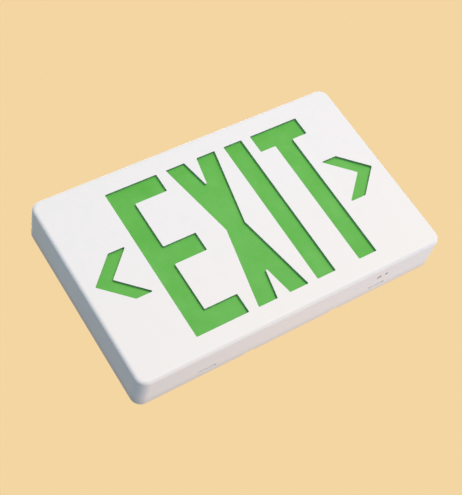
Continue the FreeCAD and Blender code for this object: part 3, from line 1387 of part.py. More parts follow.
def wire_bushing():
    """Bushing in the wire hole: barrel through the plate, flange and rounded lip inside."""
    barrel = BACK_T - BUSHING_RECESS
    flange_r = BUSHING_FLANGE_R
    lip = barrel + BUSHING_FLANGE_T + BUSHING_LIP_H
    outer = WIRE_HOLE_R - BUSHING_FIT
    soft = BUSHING_FLANGE_T / 4
    profile = [(BUSHING_BORE_R, 0), (outer, 0), (outer, barrel), (flange_r, barrel),
               (flange_r, barrel + BUSHING_FLANGE_T - soft), (flange_r - soft, barrel + BUSHING_FLANGE_T),
               (BUSHING_LIP_R, barrel + BUSHING_FLANGE_T), (BUSHING_LIP_R - soft, lip), (BUSHING_BORE_R, lip)]
    return turned(profile, V(0, deep(DEPTH - BUSHING_RECESS), MID_Z), -Y_DIR)


# ---------------------------------------------------------------- export
def pieces():
    """Every piece by its name."""
    return {
        "housing_shell": housing_shell(),
        "colour_panel": colour_panel(),
        "component_tray": component_tray(),
        "tray_screws": tray_screws(),
        "led_board_top": led_board(1),
        "led_board_bottom": led_board(-1),
        "led_lamps_top": led_lamps(1),
        "led_lamps_bottom": led_lamps(-1),
        "main_board": main_board(),
        "main_board_screws": main_board_screws(),
        "transformer_core": transformer_core(),
        "transformer_coil": transformer_coil(),
        "electrolytic_capacitors": electrolytic_capacitors(),
        "suppressor_capacitor": suppressor_capacitor(),
        "fuse": fuse(),
        "power_transistor": power_transistor(),
        "diodes": diodes(),
        "resistors": resistors(),
        "mains_terminal_block": mains_terminal_block(),
        "terminal_screws": terminal_screws(),
        "lead_sockets": lead_sockets(),
        "lead_plugs": lead_plugs(),
        "led_leads": led_leads(),
        "battery_lead": battery_lead(),
        "test_lead": test_lead(),
        "battery_pack": battery_pack(),
        "battery_pad": battery_pad(),
        "battery_strap": battery_strap(),
        "strap_screws": strap_screws(),
        "test_board": test_board(),
        "test_board_screws": test_board_screws(),
        "test_switch": test_switch(),
        "switch_plunger": switch_plunger(),
        "switch_spring": switch_spring(),
        "test_button": test_button(),
        "status_lamp": status_lamp(),
        "lamp_spacer": lamp_spacer(),
        "back_plate": back_plate(),
        "wire_bushing": wire_bushing(),
    }


os.makedirs("parts", exist_ok=True)
for name, shape in pieces().items():
    shape.exportStep(os.path.join("parts", name + ".step"))
    print(name, len(shape.Solids), "solids", round(shape.Volume, 1), "mm3", shape.isValid())
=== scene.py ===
"""Looks of the emergency exit light: materials for every CAD piece, studio light, floor and camera."""
import json
import math

import bmesh
import bpy
from mathutils import Matrix, Vector


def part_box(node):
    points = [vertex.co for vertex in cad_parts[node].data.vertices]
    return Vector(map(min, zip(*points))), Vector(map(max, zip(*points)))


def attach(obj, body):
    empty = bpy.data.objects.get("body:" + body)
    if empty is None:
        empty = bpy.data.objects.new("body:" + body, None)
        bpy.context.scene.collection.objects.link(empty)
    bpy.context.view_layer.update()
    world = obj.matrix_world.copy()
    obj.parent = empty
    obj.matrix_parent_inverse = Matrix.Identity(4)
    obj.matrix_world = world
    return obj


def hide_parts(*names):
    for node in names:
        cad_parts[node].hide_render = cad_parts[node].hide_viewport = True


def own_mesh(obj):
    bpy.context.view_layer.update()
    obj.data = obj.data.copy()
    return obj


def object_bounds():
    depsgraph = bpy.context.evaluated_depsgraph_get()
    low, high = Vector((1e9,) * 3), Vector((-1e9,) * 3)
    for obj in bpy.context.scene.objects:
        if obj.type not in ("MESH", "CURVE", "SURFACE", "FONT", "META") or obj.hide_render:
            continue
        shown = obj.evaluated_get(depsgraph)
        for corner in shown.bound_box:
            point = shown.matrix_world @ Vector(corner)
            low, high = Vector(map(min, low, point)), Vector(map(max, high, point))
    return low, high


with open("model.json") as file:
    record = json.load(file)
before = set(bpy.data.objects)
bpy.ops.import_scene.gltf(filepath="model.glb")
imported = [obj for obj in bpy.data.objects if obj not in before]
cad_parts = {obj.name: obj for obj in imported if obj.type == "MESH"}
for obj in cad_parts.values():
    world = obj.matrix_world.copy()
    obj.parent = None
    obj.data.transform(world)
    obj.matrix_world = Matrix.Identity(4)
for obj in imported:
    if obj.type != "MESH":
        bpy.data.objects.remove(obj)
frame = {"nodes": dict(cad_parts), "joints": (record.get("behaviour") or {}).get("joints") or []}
cad_box = [list(corner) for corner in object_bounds()]
nodes = frame["nodes"]
MM = 0.001
X, Y, Z = range(3)

# ---------------------------------------------------------------- sizes shared with the CAD, in metres
FACE_T = 2.4 * MM
BOBBIN_FLANGE_T = 1.0 * MM
TRANSISTOR_LEG_L = 4.0 * MM
TRANSISTOR_TAB_L = 6.5 * MM
TRANSISTOR_TAB_T = 1.3 * MM
AXIAL_PITCH = 5.0 * MM
DIODE_L = 5.2 * MM
RESISTOR_L = 6.4 * MM
CELL_PITCH = 14.6 * MM
CELL_CAP_R = 4.6 * MM
SPRING_WIRE_R = 0.2 * MM
SPRING_TURNS = 4

# ---------------------------------------------------------------- sizes of the finishes, in metres
# A zone reaches this far past a CAD face, so that the face is inside it.
SLACK = 0.02 * MM
MERGE_DISTANCE = 0.002 * MM
LEGEND_ZONE_X = (-143.5 * MM, 143.5 * MM)
LEGEND_ZONE_Z = (16.0 * MM, 172.0 * MM)
LEGEND_EDGE = 0.05 * MM
# Painted warm light fades out over this height above the shell's foot, and painted cool light grows over this
# width towards its right end.
WARM_LIGHT_BELOW = 130.0 * MM
COOL_LIGHT_TOWARDS = 120.0 * MM
PANEL_FADE_Z = (15.0 * MM, 95.0 * MM)
PANEL_FADE_X = (-90.0 * MM, -10.0 * MM)
EJECTOR_PITCH = 46.0 * MM
EJECTOR_R = 3.0 * MM
EJECTOR_RIM = 0.5 * MM
TRACK_PITCH = 1.9 * MM
TRACK_RUN = 11.0 * MM
PRINT_GAP = 0.45 * MM
PRINT_LINE = 0.26 * MM
SCREW_PAD_R = 3.5 * MM
STRIP_PAD_PITCH = 6.5 * MM
TAPE_PITCH = 3.1 * MM
SLEEVE_DASH_PITCH = 2.6 * MM
DIODE_BAND = (1.35 * MM, 2.05 * MM)
RESISTOR_BANDS = (-2.2 * MM, -1.1 * MM, -0.2 * MM, 2.2 * MM)
RESISTOR_BAND_HALF = 0.27 * MM

# ---------------------------------------------------------------- other values of the finishes
# Places of the colour sockets on a Mix node, whose sockets for numbers, vectors and colours share names.
MIX_FACTOR, MIX_FIRST, MIX_SECOND, MIX_RESULT = 0, 6, 7, 2
# Noise mostly stays between these two.
NOISE_LOW, NOISE_HIGH = 0.3, 0.7
# A surface faces an axis where that part of its normal is larger than this.
FACES = 0.5
# A surface starts to turn away from an axis at the first, and has turned away fully at the second.
TURNING_AWAY = (-0.2, -0.9)
# The normal of one of the shell's sides has less than this along y.
SIDE_TILT = 0.3
# The normal of a capacitor's or a cell's end has more than this along its axis.
CAN_END_TILT = 0.55
CELL_END_TILT = 0.7
# Share of painted warm light at the shell's foot, and of painted bluish shade on its left side.
WARM_LIGHT_SHARE = 0.6
LEFT_SHADE_SHARE = 0.45
PANEL_DEEPER_LOW = -0.20
PANEL_DEEPER_LEFT = -0.05
# Each row of painted shade: where it starts and where it is full, from the rear, its share there, and its
# colour.
REAR_SHADE = ((11.0 * MM, 2.5 * MM, 0.9, (0.755, 0.710, 0.665)),
             (1.8 * MM, 0.6 * MM, 0.7, (0.66, 0.66, 0.68)))
TRACK_SHARE = 0.34
TRACK_RARITY = 0.66
TRACK_SALTS = (1.0, 7.0)
BAND_SALT = 3.0
STRIP_PAD_SHARE = 0.22
TAPE_SEAM_SHARE = 0.05
# The sleeve's stripe and the line of dashes in its middle, as the least part of the normal across.
SLEEVE_STRIPE, SLEEVE_DASHES = 0.90, 0.965
SLEEVE_GAP_SHARE = 0.45
# Tin is this much less blue than grey, and this much lighter where it shines.
TIN_WARMTH, TIN_SHEEN = 0.02, 0.18
PRINTED_ROUNDS = ("fuse", "electrolytic_capacitors")
PRINTED_BOXES = ("suppressor_capacitor", "transformer_core", "power_transistor", "diodes", "resistors",
                 "mains_terminal_block")

# ---------------------------------------------------------------- spring, floor, light and camera
SPRING_STEPS_PER_TURN = 28
SPRING_SIDES = 10
SPRING_END_CLOSING = 0.6
BACKDROP = (0.905, 0.672, 0.361)
FLOOR_PALE = (0.90, 0.69, 0.385)
FLOOR_HALF = 3.0
FLOOR_DROP = 0.3 * MM
FLOOR_FADE = (0.55, 1.6)
AMBIENT = (0.232, 0.300, 0.375)
LAMPS_AIM = (0.0, 0.0, 0.095)
CAMERA_LENS_MM = 80.7
CAMERA_SENSOR_MM = 36.0
CAMERA_CLIP = (0.01, 20.0)
CAMERA_PLACE = (-0.4014, -0.8000, -0.2775)
CAMERA_AHEAD = (0.4047, 0.8326, 0.3782)
CAMERA_ACROSS = (0.8341, -0.1665, -0.5259)


# ---------------------------------------------------------------- material building
class Graph:
    """The nodes of a material or a world, with short calls for the ones it needs."""

    def __init__(self, owner, output):
        owner.use_nodes = True
        self.tree = owner.node_tree
        self.tree.nodes.clear()
        self.out = self.new(output)

    def new(self, kind):
        return self.tree.nodes.new(kind)

    def link(self, source, target):
        self.tree.links.new(source, target)

    def feed(self, target, value):
        """Sets a socket to a number or colour, or links a socket to it."""
        if isinstance(value, bpy.types.NodeSocket):
            self.link(value, target)
        elif target.type == "RGBA":
            target.default_value = (*value, 1.0)
        else:
            target.default_value = value

    def surface(self, shader):
        """Makes a shader node the one that shows."""
        self.link(shader.outputs[0], self.out.inputs["Surface"])

    def mixed(self, mask, first, second):
        """First shader node where the mask is 0, second where it is 1."""
        node = self.new("ShaderNodeMixShader")
        self.feed(node.inputs[0], mask)
        self.link(first.outputs[0], node.inputs[1])
        self.link(second.outputs[0], node.inputs[2])
        return node

    def calc(self, operation, *values):
        """A Math node."""
        node = self.new("ShaderNodeMath")
        node.operation = operation
        for socket, value in zip(node.inputs, values):
            self.feed(socket, value)
        return node.outputs[0]

    def both(self, *masks):
        """Product of masks."""
        result = masks[0]
        for mask in masks[1:]:
            result = self.calc("MULTIPLY", result, mask)
        return result

    def above(self, value, limit):
        """1 where a value is over a limit."""
        return self.calc("GREATER_THAN", value, limit)

    def below(self, value, limit):
        """1 where a value is under a limit."""
        return self.calc("LESS_THAN", value, limit)

    def within(self, value, low, high):
        """1 where a value lies between two limits."""
        return self.both(self.above(value, low), self.below(value, high))

    def invert(self, value):
        return self.calc("SUBTRACT", 1.0, value)

    def size(self, value):
        """A value without its sign."""
        return self.calc("ABSOLUTE", value)

    def past(self, value, start):
        """How far a value is past a start."""
        return self.calc("SUBTRACT", value, start)

    def times(self, value, factor):
        return self.calc("MULTIPLY", value, factor)

    def length(self, *steps):
        """Length of two steps at right angles."""
        squares = [self.times(step, step) for step in steps]
        return self.calc("SQRT", self.calc("ADD", *squares))

    def count(self, value, pitch):
        """How many whole repeats of a pitch a value has behind it."""
        return self.calc("FLOOR", self.times(value, 1.0 / pitch))

    def beat(self, value, pitch, shift=0.0):
        """How far a value is through each repeat of a pitch, from 0 to 1."""
        return self.calc("FRACT", self.calc("ADD", self.times(value, 1.0 / pitch), shift))

    def remap(self, value, low, high, to_low, to_high):
        """Map Range, clamped."""
        node = self.new("ShaderNodeMapRange")
        self.link(value, node.inputs["Value"])
        node.inputs["From Min"].default_value = low
        node.inputs["From Max"].default_value = high
        node.inputs["To Min"].default_value = to_low
        node.inputs["To Max"].default_value = to_high
        return node.outputs[0]


class Look(Graph):
    """One Principled material under construction."""

    def __init__(self, name, rough, metal=0.0, ior=1.5, coat=0.0, coat_rough=0.1, specular=0.5):
        self.material = bpy.data.materials.new(name)
        super().__init__(self.material, "ShaderNodeOutputMaterial")
        self.shader = self.new("ShaderNodeBsdfPrincipled")
        self.surface(self.shader)
        self.put("Roughness", rough)
        self.put("Metallic", metal)
        self.put("IOR", ior)
        self.put("Coat Weight", coat)
        self.put("Coat Roughness", coat_rough)
        self.put("Specular IOR Level", specular)
        self.coord = self.new("ShaderNodeTexCoord")
        self.base = None

    def put(self, name, value):
        """Feeds one of the shader's own inputs."""
        self.feed(self.shader.inputs[name], value)

    def colour(self, value):
        self.base = value
        self.put("Base Color", value)

    def gloss(self, value, smooth, rough):
        """Roughness that goes from one number to another as a noise rises."""
        self.put("Roughness", self.remap(value, NOISE_LOW, NOISE_HIGH, smooth, rough))

    def part(self, vector):
        """The three numbers of a vector."""
        split = self.new("ShaderNodeSeparateXYZ")
        self.link(vector, split.inputs[0])
        return tuple(split.outputs)

    def place(self):
        """Position in the object's own space, in metres, as three numbers."""
        return self.part(self.coord.outputs["Object"])

    def facing(self):
        """Surface normal in the object's own space, as three numbers."""
        return self.part(self.coord.outputs["Normal"])

    def scaled(self, *scale):
        """Position times a scale for each axis."""
        node = self.new("ShaderNodeVectorMath")
        node.operation = "MULTIPLY"
        self.link(self.coord.outputs["Object"], node.inputs[0])
        node.inputs[1].default_value = scale
        return node.outputs[0]

    def noise(self, scale, detail=3.0, rough=0.5, stretch=(1.0, 1.0, 1.0)):
        """Noise of so many bumps a metre."""
        node = self.new("ShaderNodeTexNoise")
        self.link(self.scaled(*(scale * share for share in stretch)), node.inputs["Vector"])
        node.inputs["Scale"].default_value = 1.0
        node.inputs["Detail"].default_value = detail
        node.inputs["Roughness"].default_value = rough
        return node.outputs["Fac"]

    def cells(self, scale):
        """Voronoi distance of so many cells a metre."""
        node = self.new("ShaderNodeTexVoronoi")
        self.link(self.scaled(scale, scale, scale), node.inputs["Vector"])
        node.inputs["Scale"].default_value = 1.0
        return node.outputs["Distance"]

    def dice(self, *values):
        """White noise of three whole numbers."""
        node = self.new("ShaderNodeTexWhiteNoise")
        node.noise_dimensions = "3D"
        join = self.new("ShaderNodeCombineXYZ")
        for socket, value in zip(join.inputs, values):
            self.feed(socket, value)
        self.link(join.outputs[0], node.inputs["Vector"])
        return node.outputs["Value"]

    def ramp(self, value, *stops):
        """Colour ramp of (place, colour) stops."""
        node = self.new("ShaderNodeValToRGB")
        elements = node.color_ramp.elements
        while len(elements) < len(stops):
            elements.new(0.5)
        for element, (at, colour) in zip(elements, stops):
            element.position = at
            element.color = (*colour, 1.0)
        self.link(value, node.inputs[0])
        return node.outputs[0]

    def tones(self, value, first, second, low=NOISE_LOW, high=NOISE_HIGH):
        """Goes from one colour to another as a value rises from low to high."""
        return self.ramp(value, (low, first), (high, second))

    def blend(self, mask, first, second):
        """First colour where the mask is 0, second where it is 1."""
        node = self.new("ShaderNodeMix")
        node.data_type = "RGBA"
        self.feed(node.inputs[MIX_FACTOR], mask)
        self.feed(node.inputs[MIX_FIRST], first)
        self.feed(node.inputs[MIX_SECOND], second)
        return node.outputs[MIX_RESULT]

    def bump(self, height, strength, depth):
        """Bump from a height, chained onto any bump made before it."""
        node = self.new("ShaderNodeBump")
        node.inputs["Strength"].default_value = strength
        node.inputs["Distance"].default_value = depth
        self.link(height, node.inputs["Height"])
        before = self.shader.inputs["Normal"].links
        if before:
            self.link(before[0].from_socket, node.inputs["Normal"])
        self.link(node.outputs[0], self.shader.inputs["Normal"])


def shade(colour, factor):
    """A colour made lighter or darker."""
    return tuple(min(1.0, channel * factor) for channel in colour)


def grained(name, rough, **more):
    """Moulded plastic's surface: fine grain and a little variation in gloss."""
    look = Look(name, rough, **more)
    look.gloss(look.noise(90.0), rough - 0.04, rough + 0.05)
    look.bump(look.noise(1500.0, detail=2.0), strength=0.25, depth=0.03 * MM)
    return look


def moulded(name, colour, rough, blotch=0.03, **more):
    """Moulded plastic with a softly uneven colour."""
    look = grained(name, rough, **more)
    cloud = look.noise(28.0, detail=4.0)
    look.colour(look.tones(cloud, shade(colour, 1.0 - blotch), shade(colour, 1.0 + blotch / 2)))
    return look


def metal(name, colour, rough=0.32, brushed=(1.0, 1.0, 1.0)):
    """Plated or bare metal with fine scratches and uneven gloss."""
    look = Look(name, rough, metal=1.0)
    streak = look.noise(900.0, detail=4.0, stretch=brushed)
    look.colour(look.tones(streak, shade(colour, 0.86), shade(colour, 1.06), low=0.35, high=0.65))
    look.gloss(look.noise(350.0), rough - 0.08, rough + 0.12)
    look.bump(streak, strength=0.2, depth=0.02 * MM)
    return look


def resin(name, colour, rough=0.12):
    """Tinted resin of a lamp's body."""
    look = Look(name, rough, ior=1.52, coat=0.4, coat_rough=0.05)
    haze = look.noise(700.0)
    look.colour(look.tones(haze, shade(colour, 0.88), shade(colour, 1.08)))
    look.gloss(haze, rough, rough + 0.08)
    look.bump(haze, strength=0.1, depth=0.02 * MM)
    return look


# ---------------------------------------------------------------- shell, panel, tray and back
def shell_white(look):
    """Mottled white with painted light: painted warm light low down, painted cool light under its right end,
    and painted bluish shade on its left side.
    """
    x, _, z = look.place()
    across, _, up = look.facing()
    mottle = look.noise(60.0, detail=4.0, rough=0.65)
    white = look.ramp(mottle, (0.30, (0.845, 0.856, 0.850)), (0.50, (0.868, 0.862, 0.860)),
                      (0.70, (0.880, 0.856, 0.872)))
    # Painted warm light, strongest at the foot.
    white = look.blend(look.remap(z, 0.0, WARM_LIGHT_BELOW, WARM_LIGHT_SHARE, 0.0), white, (0.868, 0.838, 0.800))
    # Painted cool light under the right end.
    under = look.remap(up, *TURNING_AWAY, 0.0, 1.0)
    right_end = look.remap(x, 0.0, COOL_LIGHT_TOWARDS, 0.0, 1.0)
    white = look.blend(look.both(under, right_end), white, (0.832, 0.852, 0.876))
    # Painted bluish shade on the left side, its tint changing with height.
    left = look.remap(across, *TURNING_AWAY, 0.0, LEFT_SHADE_SHARE)
    height = look.remap(z, 0.0, cad_box[1][Z], 0.0, 1.0)
    painted_left_shade = look.ramp(height, (0.10, (0.868, 0.870, 0.910)), (0.35, (0.785, 0.838, 0.862)),
                     (0.70, (0.785, 0.878, 0.890)), (0.95, (0.805, 0.845, 0.770)))
    return look.blend(left, white, painted_left_shade)


def rear_painted_shade(look, white):
    """White with painted shade round the rear of the sides: a broad warm haze and a darker line at the edge.
    """
    _, y, _ = look.place()
    side = look.below(look.size(look.facing()[Y]), SIDE_TILT)
    rear = cad_box[1][Y]
    # Painted shade: a broad warm haze, then a darker line at the rear edge.
    for start, full, share, shade_tint in REAR_SHADE:
        amount = look.both(side, look.remap(y, rear - start, rear - full, 0.0, share))
        white = look.blend(amount, white, shade_tint)
    return white


def legend_walls(look):
    """1 on the cut legend's walls, and their painted colour: painted shade with the panel's green light
    bounced onto them, darker where they face down.
    """
    x, y, z = look.place()
    _, deep, up = look.facing()
    front = cad_box[0][Y]
    walls = look.both(
        look.within(x, *LEGEND_ZONE_X),
        look.within(z, *LEGEND_ZONE_Z),
        look.within(y, front + LEGEND_EDGE, front + FACE_T + SLACK),
        look.below(look.size(deep), FACES))
    tone = look.noise(260.0)
    # Painted shade with bounced green light: the walls are the shell's white plastic.
    green = look.tones(tone, (0.30, 0.46, 0.36), (0.36, 0.52, 0.42))
    down_facing_shade = look.tones(tone, (0.20, 0.35, 0.25), (0.25, 0.40, 0.30))
    return walls, look.blend(look.below(up, -FACES), green, down_facing_shade)


def housing_look():
    """White shell with painted shade at its rear, and painted shade with green light from the panel on its
    legend walls.
    """
    look = grained("shell_white", rough=0.52, specular=0.32)
    # Painted shade at the rear of the sides.
    white = rear_painted_shade(look, shell_white(look))
    walls, green = legend_walls(look)
    # Painted shade and green light on the legend walls.
    look.colour(look.blend(walls, white, green))
    return look


def panel_look():
    """Green legend sheet: frosted, a little uneven, and deeper towards its lower left."""
    look = Look("legend_green", rough=0.38, ior=1.49)
    x, _, z = look.place()
    low = look.remap(z, *PANEL_FADE_Z, PANEL_DEEPER_LOW, 0.0)
    left = look.remap(x, *PANEL_FADE_X, PANEL_DEEPER_LEFT, 0.0)
    tone = look.calc("ADD", look.noise(45.0, detail=5.0, rough=0.6), look.calc("ADD", low, left))
    look.colour(look.tones(tone, (0.060, 0.408, 0.034), (0.118, 0.482, 0.080), low=0.1))
    look.gloss(look.noise(140.0), 0.34, 0.44)
    look.bump(look.noise(2200.0, detail=2.0), strength=0.2, depth=0.02 * MM)
    return look


def tray_look():
    """White tray with ejector marks on its rear side."""
    look = moulded("tray_white", (0.87, 0.87, 0.86), rough=0.36)
    ejector_marks(look, look.above(look.facing()[Y], FACES))
    return look


def back_plate_look():
    """Slightly warmer white with ejector marks on its front side."""
    look = moulded("back_white", (0.83, 0.825, 0.815), rough=0.48, blotch=0.035)
    ejector_marks(look, look.below(look.facing()[Y], -FACES))
    return look


def ejector_marks(look, inside):
    """Shallow rings left by a mould's ejector pins, on a moulding's inner side."""
    x, _, z = look.place()
    radius = look.length(*(look.past(look.beat(value, EJECTOR_PITCH), 0.5) for value in (x, z)))
    ring = look.within(radius, (EJECTOR_R - EJECTOR_RIM) / EJECTOR_PITCH, EJECTOR_R / EJECTOR_PITCH)
    mark = look.both(ring, inside)
    look.colour(look.blend(mark, look.base, (0.74, 0.74, 0.73)))
    look.bump(look.invert(mark), strength=0.8, depth=0.3 * MM)


# ---------------------------------------------------------------- circuit boards
def solids_of(name):
    """Lowest and highest corners of each separate solid in a CAD piece, left to right."""
    mesh = bmesh.new()
    mesh.from_mesh(nodes[name].data)
    bmesh.ops.remove_doubles(mesh, verts=mesh.verts, dist=MERGE_DISTANCE)
    waiting = set(mesh.verts)
    boxes = []
    while waiting:
        reached = [waiting.pop()]
        for vertex in reached:
            joined = {edge.other_vert(vertex) for edge in vertex.link_edges} & waiting
            waiting -= joined
            reached.extend(joined)
        columns = list(zip(*(vertex.co for vertex in reached)))
        boxes.append(([min(column) for column in columns], [max(column) for column in columns]))
    mesh.free()
    return sorted(boxes)


def distance_from(look, across, along, box, is_round):
    """Distance outside a body's footprint on the main board: a circle or a rectangle."""
    low, high = box
    middle = [(low[axis] + high[axis]) / 2 for axis in (X, Z)]
    half = [(high[axis] - low[axis]) / 2 for axis in (X, Z)]
    steps = [look.size(look.past(value, centre)) for value, centre in zip((across, along), middle)]
    if is_round:
        return look.past(look.length(*steps), half[0])
    return look.calc("MAXIMUM", *(look.past(step, reach) for step, reach in zip(steps, half)))


def board_print(look, across, along):
    """1 on the printed outlines round the main board's components."""
    mask = 0.0
    for name in PRINTED_BOXES + PRINTED_ROUNDS:
        for box in solids_of(name):
            outside = distance_from(look, across, along, box, is_round=name in PRINTED_ROUNDS)
            mask = look.calc("MAXIMUM", mask, look.within(outside, PRINT_GAP, PRINT_GAP + PRINT_LINE))
    return mask


def screw_pads(look, across, along):
    """1 on the bare tinned rings under the main board's screw heads."""
    mask = 0.0
    for low, high in solids_of("main_board_screws"):
        outside = distance_from(look, across, along, (low, high), is_round=True)
        reach = SCREW_PAD_R - (high[X] - low[X]) / 2
        mask = look.calc("MAXIMUM", mask, look.below(outside, reach))
    return mask


def board_tracks(look, across, along):
    """1 on the tracks of a board: runs both ways on a grid, each run there by chance."""
    masks = []
    for main, other, salt in zip((across, along), (along, across), TRACK_SALTS):
        on_lane = look.below(look.beat(main, TRACK_PITCH), TRACK_SHARE)
        chance = look.dice(look.count(main, TRACK_PITCH), look.count(other, TRACK_RUN), salt)
        masks.append(look.both(on_lane, look.above(chance, TRACK_RARITY)))
    return look.calc("MAXIMUM", *masks)


def board_look(name, through, printed=False):
    """Green mask over tracks on a board's faces, the main board's print where asked, and laminate edges."""
    look = Look(name, rough=0.38, coat=0.25, coat_rough=0.2)
    place = look.place()
    across, along = (place[axis] for axis in (X, Y, Z) if axis != through)
    tracks = board_tracks(look, across, along)
    green = look.blend(tracks, (0.018, 0.135, 0.050), (0.045, 0.235, 0.085))
    if printed:
        green = look.blend(board_print(look, across, along), green, (0.70, 0.71, 0.67))
        green = look.blend(screw_pads(look, across, along), green, (0.56, 0.56, 0.53))
    weave = look.noise(1600.0, stretch=[0.2 if axis == through else 1.0 for axis in (X, Y, Z)])
    edge = look.tones(weave, (0.30, 0.26, 0.12), (0.42, 0.37, 0.19))
    look.colour(look.blend(look.above(look.size(look.facing()[through]), FACES), edge, green))
    look.bump(tracks, strength=0.5, depth=0.04 * MM)
    return look


def strip_look():
    """White-masked strip board with tinned pads on a pitch."""
    look = Look("strip_white", rough=0.4, coat=0.2)
    x, _, _ = look.place()
    pads = look.below(look.beat(x, STRIP_PAD_PITCH, shift=0.5), STRIP_PAD_SHARE)
    white = look.tones(look.noise(300.0), (0.76, 0.77, 0.74), (0.84, 0.85, 0.82))
    look.colour(look.blend(pads, white, (0.58, 0.57, 0.53)))
    look.bump(pads, strength=0.4, depth=0.03 * MM)
    return look


# ---------------------------------------------------------------- components
def ferrite_look():
    """Dark, speckled and matt."""
    look = Look("ferrite", rough=0.55)
    speck = look.noise(4200.0, detail=4.0)
    look.colour(look.tones(speck, (0.018, 0.018, 0.020), (0.065, 0.065, 0.070), high=0.75))
    look.gloss(speck, 0.42, 0.68)
    look.bump(speck, strength=0.4, depth=0.04 * MM)
    return look


def coil_look():
    """Yellow tape in overlapping turns between dark bobbin flanges."""
    low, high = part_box("transformer_coil")
    look = Look("coil_tape", rough=0.32, coat=0.3, coat_rough=0.15)
    _, _, z = look.place()
    from_middle = look.size(look.past(z, (low.z + high.z) / 2))
    flange = look.above(from_middle, (high.z - low.z) / 2 - BOBBIN_FLANGE_T - SLACK)
    wrinkle = look.noise(420.0, stretch=(0.5, 0.5, 2.0))
    tape = look.tones(wrinkle, (0.62, 0.42, 0.035), (0.78, 0.56, 0.07))
    laps = look.beat(z, TAPE_PITCH)
    tape = look.blend(look.below(laps, TAPE_SEAM_SHARE), tape, (0.42, 0.27, 0.02))
    look.colour(look.blend(flange, tape, (0.03, 0.03, 0.032)))
    look.bump(laps, strength=0.3, depth=0.06 * MM)
    look.bump(wrinkle, strength=0.25, depth=0.05 * MM)
    return look


def capacitor_look():
    """Dark sleeve with a dashed pale stripe down one side and bare aluminium at the end."""
    look = Look("can_sleeve", rough=0.26, coat=0.4, coat_rough=0.12)
    _, y, _ = look.place()
    across, deep, _ = look.facing()
    end = look.above(deep, CAN_END_TILT)
    stripe = look.above(across, SLEEVE_STRIPE)
    in_dash = look.above(look.beat(y, SLEEVE_DASH_PITCH), SLEEVE_GAP_SHARE)
    dash = look.both(look.above(across, SLEEVE_DASHES), in_dash)
    tone = look.noise(500.0)
    sleeve = look.tones(tone, (0.012, 0.020, 0.052), (0.022, 0.034, 0.080))
    sleeve = look.blend(look.both(stripe, look.invert(dash)), sleeve, (0.50, 0.52, 0.56))
    look.colour(look.blend(end, sleeve, (0.74, 0.74, 0.75)))
    look.put("Metallic", end)
    look.bump(tone, strength=0.15, depth=0.03 * MM)
    return look


def on_tin(look, body, skin, grain=900.0, level=0.58):
    """Colours a component: its skin on the body, and tinned metal on the rest."""
    dull = (level, level, level - TIN_WARMTH)
    bright = tuple(channel + TIN_SHEEN for channel in dull)
    look.colour(look.blend(body, look.tones(look.noise(grain), dull, bright), skin))
    look.put("Metallic", look.invert(body))


def transistor_look():
    """Black body on a tinned tab, with tinned legs."""
    low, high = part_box("power_transistor")
    look = Look("transistor_black", rough=0.42)
    _, y, z = look.place()
    body = look.both(look.within(z, low.z + TRANSISTOR_LEG_L, high.z - TRANSISTOR_TAB_L),
                     look.above(y, low.y + TRANSISTOR_TAB_T + SLACK))
    black = look.tones(look.noise(1500.0), (0.022, 0.022, 0.024), (0.045, 0.045, 0.048))
    on_tin(look, body, black, grain=700.0, level=0.60)
    look.bump(look.noise(2500.0), strength=0.25, depth=0.03 * MM)
    return look


def axial_body(look, node, length):
    """Height above the middle of a row of upright axial parts, and 1 on the parts' bodies."""
    low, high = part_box(node)
    _, _, z = look.place()
    height = look.past(z, (low.z + high.z) / 2)
    reach = length / 2 + SLACK
    return height, look.within(height, -reach, reach)


def diode_look():
    """Black bodies with a silver band, on tinned legs."""
    look = Look("diode_black", rough=0.36)
    height, body = axial_body(look, "diodes", DIODE_L)
    black = look.tones(look.noise(1800.0), (0.020, 0.020, 0.022), (0.040, 0.040, 0.044))
    skin = look.blend(look.within(height, *DIODE_BAND), black, (0.62, 0.62, 0.64))
    on_tin(look, body, skin)
    look.bump(look.noise(2500.0), strength=0.2, depth=0.02 * MM)
    return look


def resistor_look():
    """Lacquered bodies with a gold band and others that differ from one to the next, on tinned legs."""
    look = Look("resistor_lacquer", rough=0.34, coat=0.3)
    height, body = axial_body(look, "resistors", RESISTOR_L)
    x, _, _ = look.place()
    which = look.count(look.past(x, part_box("resistors")[0].x), AXIAL_PITCH)
    tone = look.noise(800.0)
    skin = look.tones(tone, (0.55, 0.42, 0.24), (0.66, 0.52, 0.32))
    *value_bands, gold_band = RESISTOR_BANDS
    for index, at in enumerate(value_bands):
        pick = look.dice(which, float(index), BAND_SALT)
        paint = look.ramp(pick, (0.0, (0.28, 0.09, 0.02)), (0.25, (0.02, 0.02, 0.02)),
                          (0.5, (0.50, 0.03, 0.02)), (0.75, (0.72, 0.30, 0.02)), (1.0, (0.20, 0.05, 0.30)))
        skin = banded(look, height, at, skin, paint)
    on_tin(look, body, banded(look, height, gold_band, skin, (0.55, 0.40, 0.10)))
    look.bump(tone, strength=0.2, depth=0.03 * MM)
    return look


def banded(look, height, at, skin, paint):
    """A resistor's skin with one painted band round it."""
    band = look.within(height, at - RESISTOR_BAND_HALF, at + RESISTOR_BAND_HALF)
    return look.blend(band, skin, paint)


# ---------------------------------------------------------------- leads and battery
def pair_look(name, node, axis):
    """Insulated pair: red on one side of the lead's middle plane and black on the other."""
    low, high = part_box(node)
    look = Look(name, rough=0.30, coat=0.3, coat_rough=0.12)
    side = look.above(look.place()[axis], (low[axis] + high[axis]) / 2)
    tone = look.noise(500.0)
    red = look.tones(tone, (0.42, 0.018, 0.014), (0.56, 0.030, 0.022))
    black = look.tones(tone, (0.012, 0.012, 0.013), (0.028, 0.028, 0.030))
    look.colour(look.blend(side, black, red))
    look.bump(tone, strength=0.15, depth=0.03 * MM)
    return look


